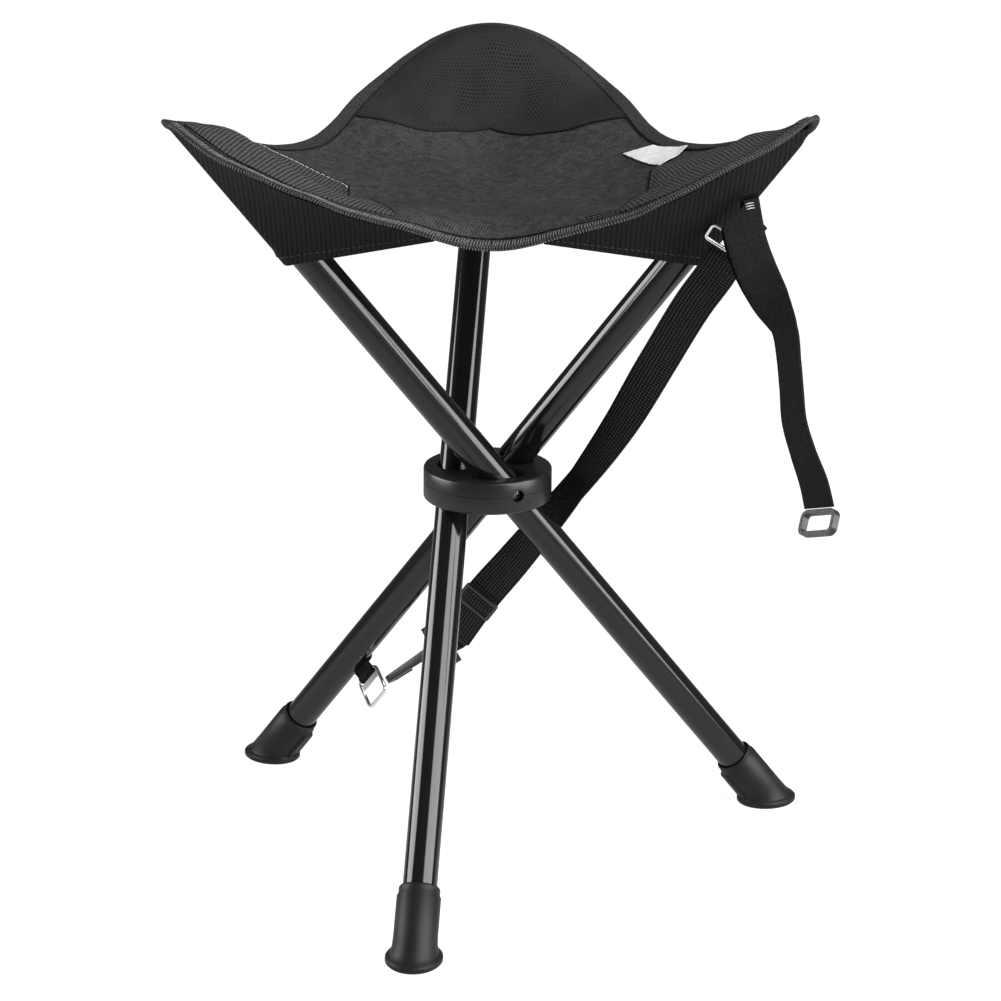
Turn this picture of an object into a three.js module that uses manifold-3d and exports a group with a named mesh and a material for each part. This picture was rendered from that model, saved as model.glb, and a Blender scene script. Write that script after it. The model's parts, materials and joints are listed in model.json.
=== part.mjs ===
// Folding three-leg stool. Millimetres, +Z up, floor at z = 0. The stool is built round its hub axis,
// then moved so that the origin is under the middle of its bounding box.
// Three straight tubes cross in a round two-part hub. Each tube turns on a screw through the hub,
// so the tubes fold parallel. A three-cornered fabric seat is held by a pocket over each tube's top.
import * as THREE from "three";
import { mergeVertices } from "three/addons/utils/BufferGeometryUtils.js";
import Module from "manifold-3d";

const wasm = await Module();
wasm.setup();

// ---- frame ----
const TILT = THREE.MathUtils.degToRad(39.16); // leg from the vertical, stool open
const CROSS_Z = 257.7; // height where the leg axes pass closest to the hub axis
const LEG_OFFSET = 21.57; // distance of each leg axis from the hub axis
const HUB_AXIS = { x: -18.9, y: 1.35 }; // where the hub axis ends up
const TUBE_R = 11;
const TUBE_WALL = 1.2;
const TUBE_TOP = 300; // along the leg, above the crossing
const TUBE_BOTTOM = -314.3;
const LEGS = { a: 300, b: 60, c: 180 }; // where each leg passes through the hub, degrees

// ---- hub ----
const HUB_R = 42.5;
const HUB_TOP = 5.9; // above the crossing height
const HUB_MID = -4.4;
const HUB_BOTTOM = -16.2;
const SEAM = 0.12;
const SLOT_R = 11.6;
const PIN_R = 2.4;
const PIN_HOLE_R = 2.7;
const PIN_HEAD_R = 3.7;
const PIN_HEAD_AT = 35.9; // underside of the head, from the hub axis
const CLOSING = { x: 29.1, y: 21.2, r: 1.5, headR: 2.9 };

// ---- foot ----
const FOOT_LENGTH = 49; // along the leg, from the floor to the top rim
const FOOT_R = 14.15;
const FOOT_BORE_R = 11.25;
const SOLE = { a: 21.1, b: 18.3, inward: 3.3, thick: 4.6 };
const RIB = { width: 10.5, rise: 1.1 };

// ---- seat ----
const SEAT_TURN = 6.06; // corner direction, degrees past each leg's lean direction
const EDGE_TURN = [0, 5, 10, 16, 23, 32, 45, 60]; // degrees from a corner to the middle of an edge
const EDGE_RADIUS = {
  front: [224, 220, 215, 207, 194, 171, 150, 140], // the two front corners
  back: [225, 225, 221, 211, 196, 172, 150, 140],
};
const EDGE_HEIGHT = [260.4, 258, 252, 242, 231, 224, 213, 209.5]; // above the crossing height
const SEAT_CENTRE = 188; // above the crossing height
const RISE_AT = [0, 0.3, 0.45, 0.55, 0.667, 0.756, 0.8, 0.85, 0.9, 0.95, 1];
const RISE = {
  front: [0, 0.007, 0.028, 0.097, 0.27, 0.594, 0.76, 0.82, 0.85, 0.92, 1],
  back: [0, 0.007, 0.028, 0.097, 0.27, 0.594, 0.76, 0.95, 1, 1, 1],
};
const FRONT = 276.06; // direction of the front edge's middle, degrees
const FRONT_DROOP = 24.5;
const LEFT_SETTLE = 7; // the left front corner hangs a little lower
// Dip of the front hem, by angle from corner a round to corner c.
const FRONT_SAG_AT = [0, 5, 10, 15, 20, 25, 30, 35, 40, 45, 60, 75, 80, 85, 90, 95, 100, 105, 110, 115, 120];
const FRONT_SAG = [0, 5, 8.5, 8, 8.3, 8.5, 11, 8.5, 4, 1, 0, 2.3, 5.5, 9.5, 11.5, 7, 4.5, 4, 6, 5, 0];
const LEFT_SAG = { middle: 168, half: 34, depth: 3.2 }; // hollow in the left edge near the back corner
const CLOTH = 1.5;
const PATCH_START = 130; // along the corner direction
const PATCH_TURN = 30;
const BINDING = { thick: 1.1, lift: 0.45 };

// ---- pocket ----
const POCKET_R = 14;
const POCKET_MOUTH = 218; // along the leg
const POCKET_TURN = 47;
const POCKET_DROP = 3;
const POCKET_CLEAR = 3.6;

// ---- straps ----
const WEBBING = 25;
const WEB_THICK = 1.6;
const RING_WIRE = 1.3;

const rad = THREE.MathUtils.degToRad;
const V = (x, y, z) => new THREE.Vector3(x, y, z);
const group = new THREE.Group();
group.name = "three_leg_stool";

// ---------------------------------------------------------------- solids
function toSolid(geometry) {
  const plain = geometry.clone();
  plain.deleteAttribute("normal");
  plain.deleteAttribute("uv");
  const merged = mergeVertices(plain, 1e-4);
  return new wasm.Manifold(
    new wasm.Mesh({
      numProp: 3,
      vertProperties: new Float32Array(merged.attributes.position.array),
      triVerts: new Uint32Array(merged.index.array),
    }),
  );
}

function fromSolid(solid) {
  const mesh = solid.getMesh();
  const geometry = new THREE.BufferGeometry();
  geometry.setAttribute("position", new THREE.BufferAttribute(new Float32Array(mesh.vertProperties), 3));
  geometry.setIndex(new THREE.BufferAttribute(new Uint32Array(mesh.triVerts), 1));
  return geometry;
}

function cut(body, ...tools) {
  let solid = toSolid(body);
  for (const tool of tools) {
    solid = solid.subtract(toSolid(tool));
  }
  return fromSolid(solid.simplify(0.004));
}

function join(...bodies) {
  let solid = toSolid(bodies[0]);
  for (const body of bodies.slice(1)) {
    solid = solid.add(toSolid(body));
  }
  return fromSolid(solid);
}

// Turned body: profile [radius, z] from bottom to top, closed on the axis or on itself.
function turned(profile, segments = 32) {
  const lathe = new THREE.LatheGeometry(
    profile.map(([r, z]) => new THREE.Vector2(r, z)),
    segments,
  );
  lathe.rotateX(Math.PI / 2);
  return lathe;
}

function rod(radius, z0, z1, segments = 32) {
  return turned([[0, z0], [radius, z0], [radius, z1], [0, z1]], segments);
}

function rodAlongY(radius, y0, y1, x, z, segments = 24) {
  const body = rod(radius, -y1, -y0, segments);
  body.rotateX(Math.PI / 2);
  body.translate(x, 0, z);
  return body;
}

// Closed body through rings of points; every ring has the same count, first and last are filled.
function loft(rings) {
  const n = rings[0].length;
  const positions = rings.flat().flatMap((p) => [p.x, p.y, p.z]);
  const index = [];
  for (let i = 0; i < rings.length - 1; i++) {
    for (let j = 0; j < n; j++) {
      const a = i * n + j;
      const b = i * n + ((j + 1) % n);
      index.push(a, b, b + n, a, b + n, a + n);
    }
  }
  const last = (rings.length - 1) * n;
  for (let j = 1; j < n - 1; j++) {
    index.push(0, j + 1, j);
    index.push(last, last + j, last + j + 1);
  }
  return outward(positions, index);
}

// Closed sheet between two grids of points (grid[i][j]).
function sheet(upper, lower) {
  const rows = upper.length;
  const cols = upper[0].length;
  const at = (i, j, side) => side * rows * cols + i * cols + j;
  const positions = [...upper.flat(), ...lower.flat()].flatMap((p) => [p.x, p.y, p.z]);
  const index = [];
  const quad = (a, b, c, d) => index.push(a, b, c, a, c, d);
  for (let i = 0; i < rows - 1; i++) {
    for (let j = 0; j < cols - 1; j++) {
      quad(at(i, j, 0), at(i + 1, j, 0), at(i + 1, j + 1, 0), at(i, j + 1, 0));
      quad(at(i, j, 1), at(i, j + 1, 1), at(i + 1, j + 1, 1), at(i + 1, j, 1));
    }
  }
  for (let i = 0; i < rows - 1; i++) {
    quad(at(i, 0, 0), at(i, 0, 1), at(i + 1, 0, 1), at(i + 1, 0, 0));
    quad(at(i, cols - 1, 0), at(i + 1, cols - 1, 0), at(i + 1, cols - 1, 1), at(i, cols - 1, 1));
  }
  for (let j = 0; j < cols - 1; j++) {
    quad(at(0, j, 0), at(0, j + 1, 0), at(0, j + 1, 1), at(0, j, 1));
    quad(at(rows - 1, j, 0), at(rows - 1, j, 1), at(rows - 1, j + 1, 1), at(rows - 1, j + 1, 0));
  }
  return outward(positions, index);
}

// Turns every face outward if the body came out inside-out.
function outward(positions, index) {
  const geometry = new THREE.BufferGeometry();
  geometry.setAttribute("position", new THREE.Float32BufferAttribute(positions, 3));
  const corner = (k) => V(positions[3 * k], positions[3 * k + 1], positions[3 * k + 2]);
  let volume = 0;
  for (let t = 0; t < index.length; t += 3) {
    volume += corner(index[t]).dot(corner(index[t + 1]).cross(corner(index[t + 2])));
  }
  if (volume < 0) {
    for (let t = 0; t < index.length; t += 3) {
      [index[t + 1], index[t + 2]] = [index[t + 2], index[t + 1]];
    }
  }
  geometry.setIndex(index);
  return geometry;
}

// Flat band along a path; each station has a point, a width direction and a face direction.
function band(stations, width, thick) {
  return loft(
    stations.map(({ p, across, face }) => {
      const w = across.clone().multiplyScalar(width / 2);
      const t = face.clone().multiplyScalar(thick / 2);
      return [
        p.clone().add(w).add(t),
        p.clone().sub(w).add(t),
        p.clone().sub(w).sub(t),
        p.clone().add(w).sub(t),
      ];
    }),
  );
}

// Rectangular wire ring in the plane of two unit directions, built as one closed swept body.
function wireRing(centre, u, v, halfU, halfV, wire, corner = 3) {
  const normal = u.clone().cross(v);
  const path = [];
  for (const [cu, cv, from] of [[1, 1, 0], [-1, 1, 90], [-1, -1, 180], [1, -1, 270]]) {
    for (const step of [0, 30, 60, 90]) {
      const turn = rad(from + step);
      const out = u.clone().multiplyScalar(Math.cos(turn)).addScaledVector(v, Math.sin(turn));
      const p = centre.clone().addScaledVector(u, cu * (halfU - corner));
      p.addScaledVector(v, cv * (halfV - corner)).addScaledVector(out, corner);
      path.push({ p, out });
    }
  }
  const sides = 10;
  const rings = path.map(({ p, out }) => {
    const ring = [];
    for (let k = 0; k < sides; k++) {
      const turn = (2 * Math.PI * k) / sides;
      const point = p.clone().addScaledVector(out, wire * Math.cos(turn));
      ring.push(point.addScaledVector(normal, wire * Math.sin(turn)));
    }
    return ring;
  });
  const positions = rings.flat().flatMap((p) => [p.x, p.y, p.z]);
  const index = [];
  for (let i = 0; i < rings.length; i++) {
    const next = ((i + 1) % rings.length) * sides;
    for (let k = 0; k < sides; k++) {
      const a = i * sides + k;
      const b = i * sides + ((k + 1) % sides);
      const c = next + ((k + 1) % sides);
      const d = next + k;
      index.push(a, b, c, a, c, d);
    }
  }
  return outward(positions, index);
}

function smooth(x) {
  const t = Math.min(1, Math.max(0, x));
  return t * t * (3 - 2 * t);
}

// Value of a table at x, with a smooth slope through the knots.
function curve(xs, ys, x) {
  let i = 0;
  while (i < xs.length - 2 && x > xs[i + 1]) {
    i++;
  }
  const slope = (k) => {
    if (k <= 0 || k >= xs.length - 1) {
      return 0;
    }
    return (ys[k + 1] - ys[k - 1]) / (xs[k + 1] - xs[k - 1]);
  };
  const h = xs[i + 1] - xs[i];
  const t = (x - xs[i]) / h;
  const a = ys[i] * (1 + 2 * t) * (1 - t) ** 2 + ys[i + 1] * t * t * (3 - 2 * t);
  return a + h * (slope(i) * t * (1 - t) ** 2 - slope(i + 1) * t * t * (1 - t));
}

function linear(xs, ys, x) {
  let i = 0;
  while (i < xs.length - 2 && x > xs[i + 1]) {
    i++;
  }
  const t = (x - xs[i]) / (xs[i + 1] - xs[i]);
  return ys[i] + (ys[i + 1] - ys[i]) * t;
}

// ---------------------------------------------------------------- materials and naming
const material = (color, roughness, metalness) => () =>
  new THREE.MeshStandardMaterial({ color, roughness, metalness, side: THREE.FrontSide });
const blackPaint = material(0x0b0b0c, 0.18, 0.3);
const blackPlastic = material(0x17181a, 0.42, 0);
const rubber = material(0x2b2c2e, 0.75, 0);
const darkSteel = material(0x1c1c1e, 0.35, 0.8);
const chrome = material(0xd4d4d2, 0.08, 1);
const oxford = material(0x232324, 0.9, 0);
const meshCloth = material(0x29292b, 0.95, 0);
const trim = material(0x2c2c2e, 0.9, 0);
const webbing = material(0x151516, 0.9, 0);
const velcro = material(0x1a1a1b, 1, 0);
const labelCloth = material(0xf2f2f0, 0.9, 0);

function add(name, geometry, paint) {
  geometry.translate(HUB_AXIS.x, HUB_AXIS.y, 0);
  const mesh = new THREE.Mesh(geometry, paint());
  mesh.name = name;
  group.add(mesh);
}

// Leg frame: X is the way the leg's top leans, Y is out from the hub axis, Z up.
function placeLeg(geometry, key) {
  geometry.rotateZ(rad(LEGS[key] - 90));
  return geometry;
}

// From the tube's own axis (Z along the tube, 0 at the crossing) to the leg frame.
function alongLeg(geometry) {
  geometry.rotateY(TILT);
  geometry.translate(0, LEG_OFFSET, CROSS_Z);
  return geometry;
}

// Leg frame point from distance along the leg, sideways and square below the leg.
function legPoint(s, side, below) {
  const x = s * Math.sin(TILT) + below * Math.cos(TILT);
  const z = s * Math.cos(TILT) - below * Math.sin(TILT);
  return V(x, LEG_OFFSET + side, CROSS_Z + z);
}

function toLegFrame(p, key) {
  return p.clone().applyAxisAngle(V(0, 0, 1), -rad(LEGS[key] - 90));
}

// ---------------------------------------------------------------- legs
function legTube() {
  const inner = TUBE_R - TUBE_WALL;
  const tube = turned([
    [inner, TUBE_BOTTOM], [TUBE_R, TUBE_BOTTOM], [TUBE_R, TUBE_TOP], [inner, TUBE_TOP], [inner, TUBE_BOTTOM],
  ], 40);
  const pivotS = HUB_MID / Math.cos(TILT);
  const hole = rodAlongY(PIN_HOLE_R, -20, 20, 0, pivotS, 20);
  return alongLeg(cut(tube, hole));
}

function topCap() {
  const plug = TUBE_R - TUBE_WALL - 0.25;
  return alongLeg(turned([
    [0, TUBE_TOP - 14], [plug - 0.8, TUBE_TOP - 14], [plug, TUBE_TOP - 12.5], [plug, TUBE_TOP + 0.3],
    [TUBE_R, TUBE_TOP + 0.3], [TUBE_R, TUBE_TOP + 1.4], [TUBE_R - 1.4, TUBE_TOP + 3], [0, TUBE_TOP + 3.6],
  ], 28));
}

// Ring of points on the foot: on the floor plane it is level, higher up it is square to the leg.
function footRing(along, level, a, b, inward, count = 32) {
  const ring = [];
  const tilt = TILT * (1 - level);
  const s = -CROSS_Z / Math.cos(TILT) + along;
  for (let k = 0; k < count; k++) {
    const turn = (2 * Math.PI * k) / count;
    const dx = a * Math.cos(turn);
    const p = legPoint(s, b * Math.sin(turn), 0);
    ring.push(p.add(V(inward + dx * Math.cos(tilt), 0, -dx * Math.sin(tilt))));
  }
  return ring;
}

function footShell() {
  const wide = FOOT_R / Math.cos(TILT);
  const up = (z) => z / Math.cos(TILT);
  const lean = (z) => SOLE.inward - z * Math.tan(TILT); // keeps a level ring over the sole
  return loft([
    footRing(0, 1, SOLE.a - 1, SOLE.b - 1, SOLE.inward),
    footRing(up(1), 1, SOLE.a, SOLE.b, lean(1)),
    footRing(up(SOLE.thick - 1.2), 1, SOLE.a, SOLE.b, lean(SOLE.thick - 1.2)),
    footRing(up(SOLE.thick), 1, SOLE.a - 1.1, SOLE.b - 1.1, lean(SOLE.thick)),
    footRing(up(SOLE.thick + 0.6), 1, wide + 1, FOOT_R + 1.6, 0),
    footRing(up(8.5), 1, wide + 0.2, FOOT_R + 0.3, 0),
    footRing(up(14), 0.75, FOOT_R / Math.cos(TILT * 0.75), FOOT_R, 0),
    footRing(26, 0.25, FOOT_R / Math.cos(TILT * 0.25), FOOT_R, 0),
    footRing(FOOT_LENGTH - 6.5, 0, FOOT_R, FOOT_R, 0),
    footRing(FOOT_LENGTH - 5.2, 0, FOOT_R - 0.9, FOOT_R - 0.9, 0),
    footRing(FOOT_LENGTH - 1.2, 0, FOOT_R - 0.9, FOOT_R - 0.9, 0),
    footRing(FOOT_LENGTH, 0, FOOT_R - 1.9, FOOT_R - 1.9, 0),
  ]);
}

// Raised flat rib down the foot's outer side, spreading to the sole.
function footRib() {
  const base = -CROSS_Z / Math.cos(TILT);
  const section = (s, half, rise) => {
    const outer = FOOT_R + rise;
    return [
      legPoint(s, half, -(FOOT_R - 3)), legPoint(s, half, 0), legPoint(s, half, outer - 0.5),
      legPoint(s, half - 0.6, outer), legPoint(s, -half + 0.6, outer), legPoint(s, -half, outer - 0.5),
      legPoint(s, -half, 0), legPoint(s, -half, -(FOOT_R - 3)),
    ];
  };
  const half = RIB.width / 2;
  const rib = loft([
    section(base + 0, half + 1.6, RIB.rise + 0.4),
    section(base + 18, half + 0.5, RIB.rise),
    section(base + FOOT_LENGTH - 9, half, RIB.rise),
    section(base + FOOT_LENGTH - 7, half - 0.5, 0.3),
  ]);
  const floorCut = new THREE.BoxGeometry(120, 120, 40);
  floorCut.translate(legPoint(base, 0, 0).x, LEG_OFFSET, -19);
  return cut(rib, floorCut);
}

function foot() {
  const base = -CROSS_Z / Math.cos(TILT);
  const bore = alongLeg(turned([
    [0, TUBE_BOTTOM - 0.4], [FOOT_BORE_R, TUBE_BOTTOM - 0.4], [FOOT_BORE_R, base + FOOT_LENGTH - 4],
    [FOOT_BORE_R + 0.6, base + FOOT_LENGTH - 2.5], [FOOT_BORE_R + 0.6, base + FOOT_LENGTH + 2],
    [0, base + FOOT_LENGTH + 2],
  ], 40));
  return cut(join(footShell(), footRib()), bore);
}

// ---------------------------------------------------------------- hub
// Room for a tube turning from upright to its open tilt, in one leg's frame.
function slotTools() {
  const pivot = V(HUB_MID * Math.tan(TILT), LEG_OFFSET, CROSS_Z + HUB_MID);
  const tools = [];
  for (const turn of [0, TILT + 0.004]) {
    const body = rod(SLOT_R, -40, 40, 28);
    body.rotateY(turn);
    body.translate(pivot.x, pivot.y, pivot.z);
    tools.push(body);
  }
  for (const way of [1, -1]) {
    const reach = 24 * way;
    const wedge = new THREE.Shape([
      new THREE.Vector2(-0.01 * way, -0.01 * way), new THREE.Vector2(reach * Math.tan(TILT), reach),
      new THREE.Vector2(-0.01 * way, reach),
    ]);
    const half = SLOT_R - 0.04;
    const prism = new THREE.ExtrudeGeometry(wedge, { depth: 2 * half, bevelEnabled: false, steps: 1 });
    prism.rotateX(Math.PI / 2);
    prism.translate(pivot.x, pivot.y + half, pivot.z);
    tools.push(prism);
  }
  return tools;
}

function pinTools() {
  const x = HUB_MID * Math.tan(TILT);
  const z = CROSS_Z + HUB_MID;
  return [
    rodAlongY(PIN_R + 0.15, 7.6, 60, x, z, 20),
    rodAlongY(PIN_HEAD_R + 0.35, PIN_HEAD_AT - 0.2, 60, x, z, 24),
  ];
}

function closingTools() {
  const shaft = rod(CLOSING.r + 0.15, CROSS_Z - 30, CROSS_Z + 1.6, 16);
  const head = rod(CLOSING.headR + 0.25, CROSS_Z - 30, CROSS_Z + HUB_BOTTOM + 2.6, 20);
  return [shaft, head].map((tool) => tool.translate(CLOSING.x, CLOSING.y, 0));
}

function hubShell(profile) {
  const disc = turned(profile, 72);
  disc.translate(0, 0, CROSS_Z);
  const tools = [];
  for (const key of Object.keys(LEGS)) {
    tools.push(...[...slotTools(), ...pinTools(), ...closingTools()].map((tool) => placeLeg(tool, key)));
  }
  return cut(disc, ...tools);
}

function hubUpper() {
  const low = HUB_MID + SEAM / 2;
  return hubShell([
    [0, low], [HUB_R - 0.15, low], [HUB_R, low + 0.15], [HUB_R, HUB_TOP - 1.8],
    [HUB_R - 0.5, HUB_TOP - 0.7], [HUB_R - 1.5, HUB_TOP - 0.1], [HUB_R - 2.2, HUB_TOP], [0, HUB_TOP],
  ]);
}

function hubLower() {
  const high = HUB_MID - SEAM / 2;
  return hubShell([
    [0, HUB_BOTTOM], [HUB_R - 2.2, HUB_BOTTOM], [HUB_R - 1.2, HUB_BOTTOM + 0.3],
    [HUB_R - 0.4, HUB_BOTTOM + 1], [HUB_R, HUB_BOTTOM + 2], [HUB_R, high - 0.15], [HUB_R - 0.15, high],
    [0, high],
  ]);
}

function crossRecess(depth) {
  return [0, Math.PI / 2].map((turn) => {
    const bar = new THREE.BoxGeometry(4, 1, depth);
    bar.rotateZ(turn);
    return bar;
  });
}

function pivotScrew() {
  const shaft = turned([
    [0, 8], [PIN_R - 0.4, 8], [PIN_R, 8.6], [PIN_R, PIN_HEAD_AT], [PIN_HEAD_R, PIN_HEAD_AT],
    [PIN_HEAD_R, PIN_HEAD_AT + 1.2], [PIN_HEAD_R - 0.9, PIN_HEAD_AT + 2.1], [0, PIN_HEAD_AT + 2.5],
  ], 24);
  const screw = cut(shaft, ...crossRecess(3).map((bar) => bar.translate(0, 0, PIN_HEAD_AT + 2.6)));
  screw.rotateX(-Math.PI / 2);
  screw.translate(HUB_MID * Math.tan(TILT), 0, CROSS_Z + HUB_MID);
  return screw;
}

function closingScrew() {
  const low = HUB_BOTTOM + 0.6;
  const body = turned([
    [0, low], [CLOSING.headR - 0.6, low], [CLOSING.headR, low + 0.6], [CLOSING.headR, HUB_BOTTOM + 2.3],
    [CLOSING.r, HUB_BOTTOM + 2.3], [CLOSING.r, 1], [CLOSING.r - 0.6, 1.5], [0, 1.5],
  ], 20);
  const screw = cut(body, ...crossRecess(2).map((bar) => bar.translate(0, 0, low)));
  screw.translate(CLOSING.x, CLOSING.y, CROSS_Z);
  return screw;
}

// ---------------------------------------------------------------- seat
// Degrees from the nearest corner, 0 to 60.
function nearestCorner(azimuth) {
  const turn = (((azimuth - 90 - SEAT_TURN) % 120) + 120) % 120;
  return Math.min(turn, 120 - turn);
}

function apart(a, b) {
  return Math.abs(((((a - b) % 360) + 540) % 360) - 180);
}

function whichEnd(azimuth) {
  return apart(azimuth, 90 + SEAT_TURN) < 60 ? "back" : "front";
}

function edgeRadius(azimuth) {
  return curve(EDGE_TURN, EDGE_RADIUS[whichEnd(azimuth)], nearestCorner(azimuth));
}

// How far the cloth hangs below its even shape, at a share k of the edge radius.
function sag(azimuth, k) {
  const fromCorner = (((azimuth - FRONT + 60) % 360) + 360) % 360;
  const front = fromCorner < 120 ? curve(FRONT_SAG_AT, FRONT_SAG, fromCorner) * k ** 5 : 0;
  const near = 1 - apart(azimuth, LEFT_SAG.middle) / LEFT_SAG.half;
  const droop = FRONT_DROOP * smooth(1 - apart(azimuth, FRONT) / 42) * k ** 7;
  return front + droop + LEFT_SAG.depth * smooth(near) * k ** 3;
}

function seatPoint(azimuth, k, lift = 0) {
  const turn = nearestCorner(azimuth);
  const radius = edgeRadius(azimuth);
  let edge = curve(EDGE_TURN, EDGE_HEIGHT, turn);
  edge -= LEFT_SETTLE * smooth(1 - apart(azimuth, 210 + SEAT_TURN) / 26) * smooth((k - 0.9) / 0.1);
  const atCorner = 1 - smooth(turn / 35);
  const rise = atCorner * linear(RISE_AT, RISE[whichEnd(azimuth)], k) + (1 - atCorner) * k * k;
  const z = SEAT_CENTRE + (edge - SEAT_CENTRE) * rise - sag(azimuth, k);
  const angle = rad(azimuth);
  return V(radius * k * Math.cos(angle), radius * k * Math.sin(angle), CROSS_Z + z + lift);
}

const SEAT_STEP = 5; // degrees
const SEAT_RINGS = [0, 0.35, 0.55, 0.64, 0.72, 0.8, 0.87, 0.94, 1];

function seatPanel() {
  const around = 360 / SEAT_STEP;
  const ks = SEAT_RINGS.slice(1);
  const side = (lift) => {
    const rows = [];
    for (let i = 0; i < around; i++) {
      rows.push(ks.map((k) => seatPoint(SEAT_STEP * i + SEAT_TURN, k, lift)));
    }
    return rows;
  };
  const faces = [side(CLOTH / 2), side(-CLOTH / 2)];
  const cols = ks.length;
  const positions = [...faces[0].flat(), ...faces[1].flat()].flatMap((p) => [p.x, p.y, p.z]);
  const top = 2 * around * cols;
  for (const lift of [CLOTH / 2, -CLOTH / 2]) {
    positions.push(0, 0, CROSS_Z + SEAT_CENTRE + lift);
  }
  const at = (i, j, s) => s * around * cols + (i % around) * cols + j;
  const index = [];
  for (let i = 0; i < around; i++) {
    index.push(top, at(i, 0, 0), at(i + 1, 0, 0));
    index.push(top + 1, at(i + 1, 0, 1), at(i, 0, 1));
    for (let j = 0; j < cols - 1; j++) {
      index.push(at(i, j, 0), at(i, j + 1, 0), at(i + 1, j + 1, 0));
      index.push(at(i, j, 0), at(i + 1, j + 1, 0), at(i + 1, j, 0));
      index.push(at(i, j, 1), at(i + 1, j + 1, 1), at(i, j + 1, 1));
      index.push(at(i, j, 1), at(i + 1, j, 1), at(i + 1, j + 1, 1));
    }
    const j = cols - 1;
    index.push(at(i, j, 0), at(i, j, 1), at(i + 1, j, 1));
    index.push(at(i, j, 0), at(i + 1, j, 1), at(i + 1, j, 0));
  }
  return outward(positions, index);
}

// Point on the seat panel's own flat facets, so that sheets sewn on it follow it closely.
function facetPoint(azimuth, k, lift) {
  const column = (azimuth - SEAT_TURN) / SEAT_STEP;
  const i = Math.floor(column + 1e-6);
  const u = Math.max(0, column - i);
  let j = 0;
  while (j < SEAT_RINGS.length - 2 && k > SEAT_RINGS[j + 1]) {
    j++;
  }
  const v = (k - SEAT_RINGS[j]) / (SEAT_RINGS[j + 1] - SEAT_RINGS[j]);
  const at = (di, dj) => seatPoint((i + di) * SEAT_STEP + SEAT_TURN, SEAT_RINGS[j + dj], lift);
  const [p00, p01, p10, p11] = [at(0, 0), at(0, 1), at(1, 0), at(1, 1)];
  if (v >= u) {
    return p00.clone().addScaledVector(p01.clone().sub(p00), v).addScaledVector(p11.clone().sub(p01), u);
  }
  return p00.clone().addScaledVector(p10.clone().sub(p00), u).addScaledVector(p11.clone().sub(p10), v);
}

// Sheet lying just above the seat panel between two k limits that may vary with the direction.
function onSeat(azimuths, low, high, gap, thick) {
  const columns = azimuths.map((azimuth) => {
    const from = low(azimuth);
    const between = SEAT_RINGS.filter((k) => k > from + 0.012 && k < high - 0.012);
    return [from, ...between, high];
  });
  const starts = [];
  let count = 0;
  for (const column of columns) {
    starts.push(count);
    count += column.length;
  }
  const positions = [];
  for (const lift of [CLOTH / 2 + gap + thick, CLOTH / 2 + gap]) {
    columns.forEach((column, i) => {
      for (const k of column) {
        const p = facetPoint(azimuths[i], k, lift);
        positions.push(p.x, p.y, p.z);
      }
    });
  }
  const index = [];
  const both = (a, b, c) => index.push(a, b, c, count + a, count + c, count + b);
  const wall = (a, b) => index.push(a, count + a, b, b, count + a, count + b);
  for (let i = 0; i < columns.length - 1; i++) {
    const [left, right] = [columns[i], columns[i + 1]];
    let a = 0;
    let b = 0;
    while (a < left.length - 1 || b < right.length - 1) {
      const stepRight = b < right.length - 1 && (a === left.length - 1 || right[b + 1] <= left[a + 1]);
      if (stepRight) {
        both(starts[i] + a, starts[i + 1] + b + 1, starts[i + 1] + b);
        b++;
      } else {
        both(starts[i] + a, starts[i] + a + 1, starts[i + 1] + b);
        a++;
      }
    }
    wall(starts[i + 1], starts[i]);
    wall(starts[i] + left.length - 1, starts[i + 1] + right.length - 1);
  }
  const first = columns[0];
  for (let j = 0; j < first.length - 1; j++) {
    wall(j, j + 1);
  }
  const last = columns.length - 1;
  for (let j = 0; j < columns[last].length - 1; j++) {
    wall(starts[last] + j + 1, starts[last] + j);
  }
  return outward(positions, index);
}

function steps(from, to, by) {
  const list = [];
  for (let value = from; value < to + 0.01; value += by) {
    list.push(value);
  }
  return list;
}

function cornerPatch(corner) {
  const low = (azimuth) => {
    const turn = Math.abs(azimuth - corner);
    return PATCH_START / (edgeRadius(azimuth) * Math.cos(rad(turn)));
  };
  return onSeat(steps(corner - PATCH_TURN, corner + PATCH_TURN, SEAT_STEP), low, 0.925, 1, 0.9);
}

function edgeBinding(middle) {
  const inner = [middle - 58.5, ...steps(middle - 55, middle + 55, SEAT_STEP), middle + 58.5];
  return onSeat(inner, () => 0.94, 1, BINDING.lift, BINDING.thick);
}

function careLabel() {
  const centre = V(98, 55, 0);
  const along = V(0.38, 0.92, 0).normalize();
  const across = V(0.9, -0.44, 0).normalize();
  const place = (u, v, lift) => {
    const p = centre.clone().addScaledVector(along, u * 18).addScaledVector(across, v * 12);
    const azimuth = THREE.MathUtils.radToDeg(Math.atan2(p.y, p.x));
    return facetPoint(azimuth, Math.hypot(p.x, p.y) / edgeRadius(azimuth), lift);
  };
  const spots = [-1, -0.5, 0, 0.5, 1];
  const at = (lift) => spots.map((u) => spots.map((v) => place(u, v, lift)));
  return sheet(at(CLOTH / 2 + 1.4), at(CLOTH / 2 + 0.7));
}

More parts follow.
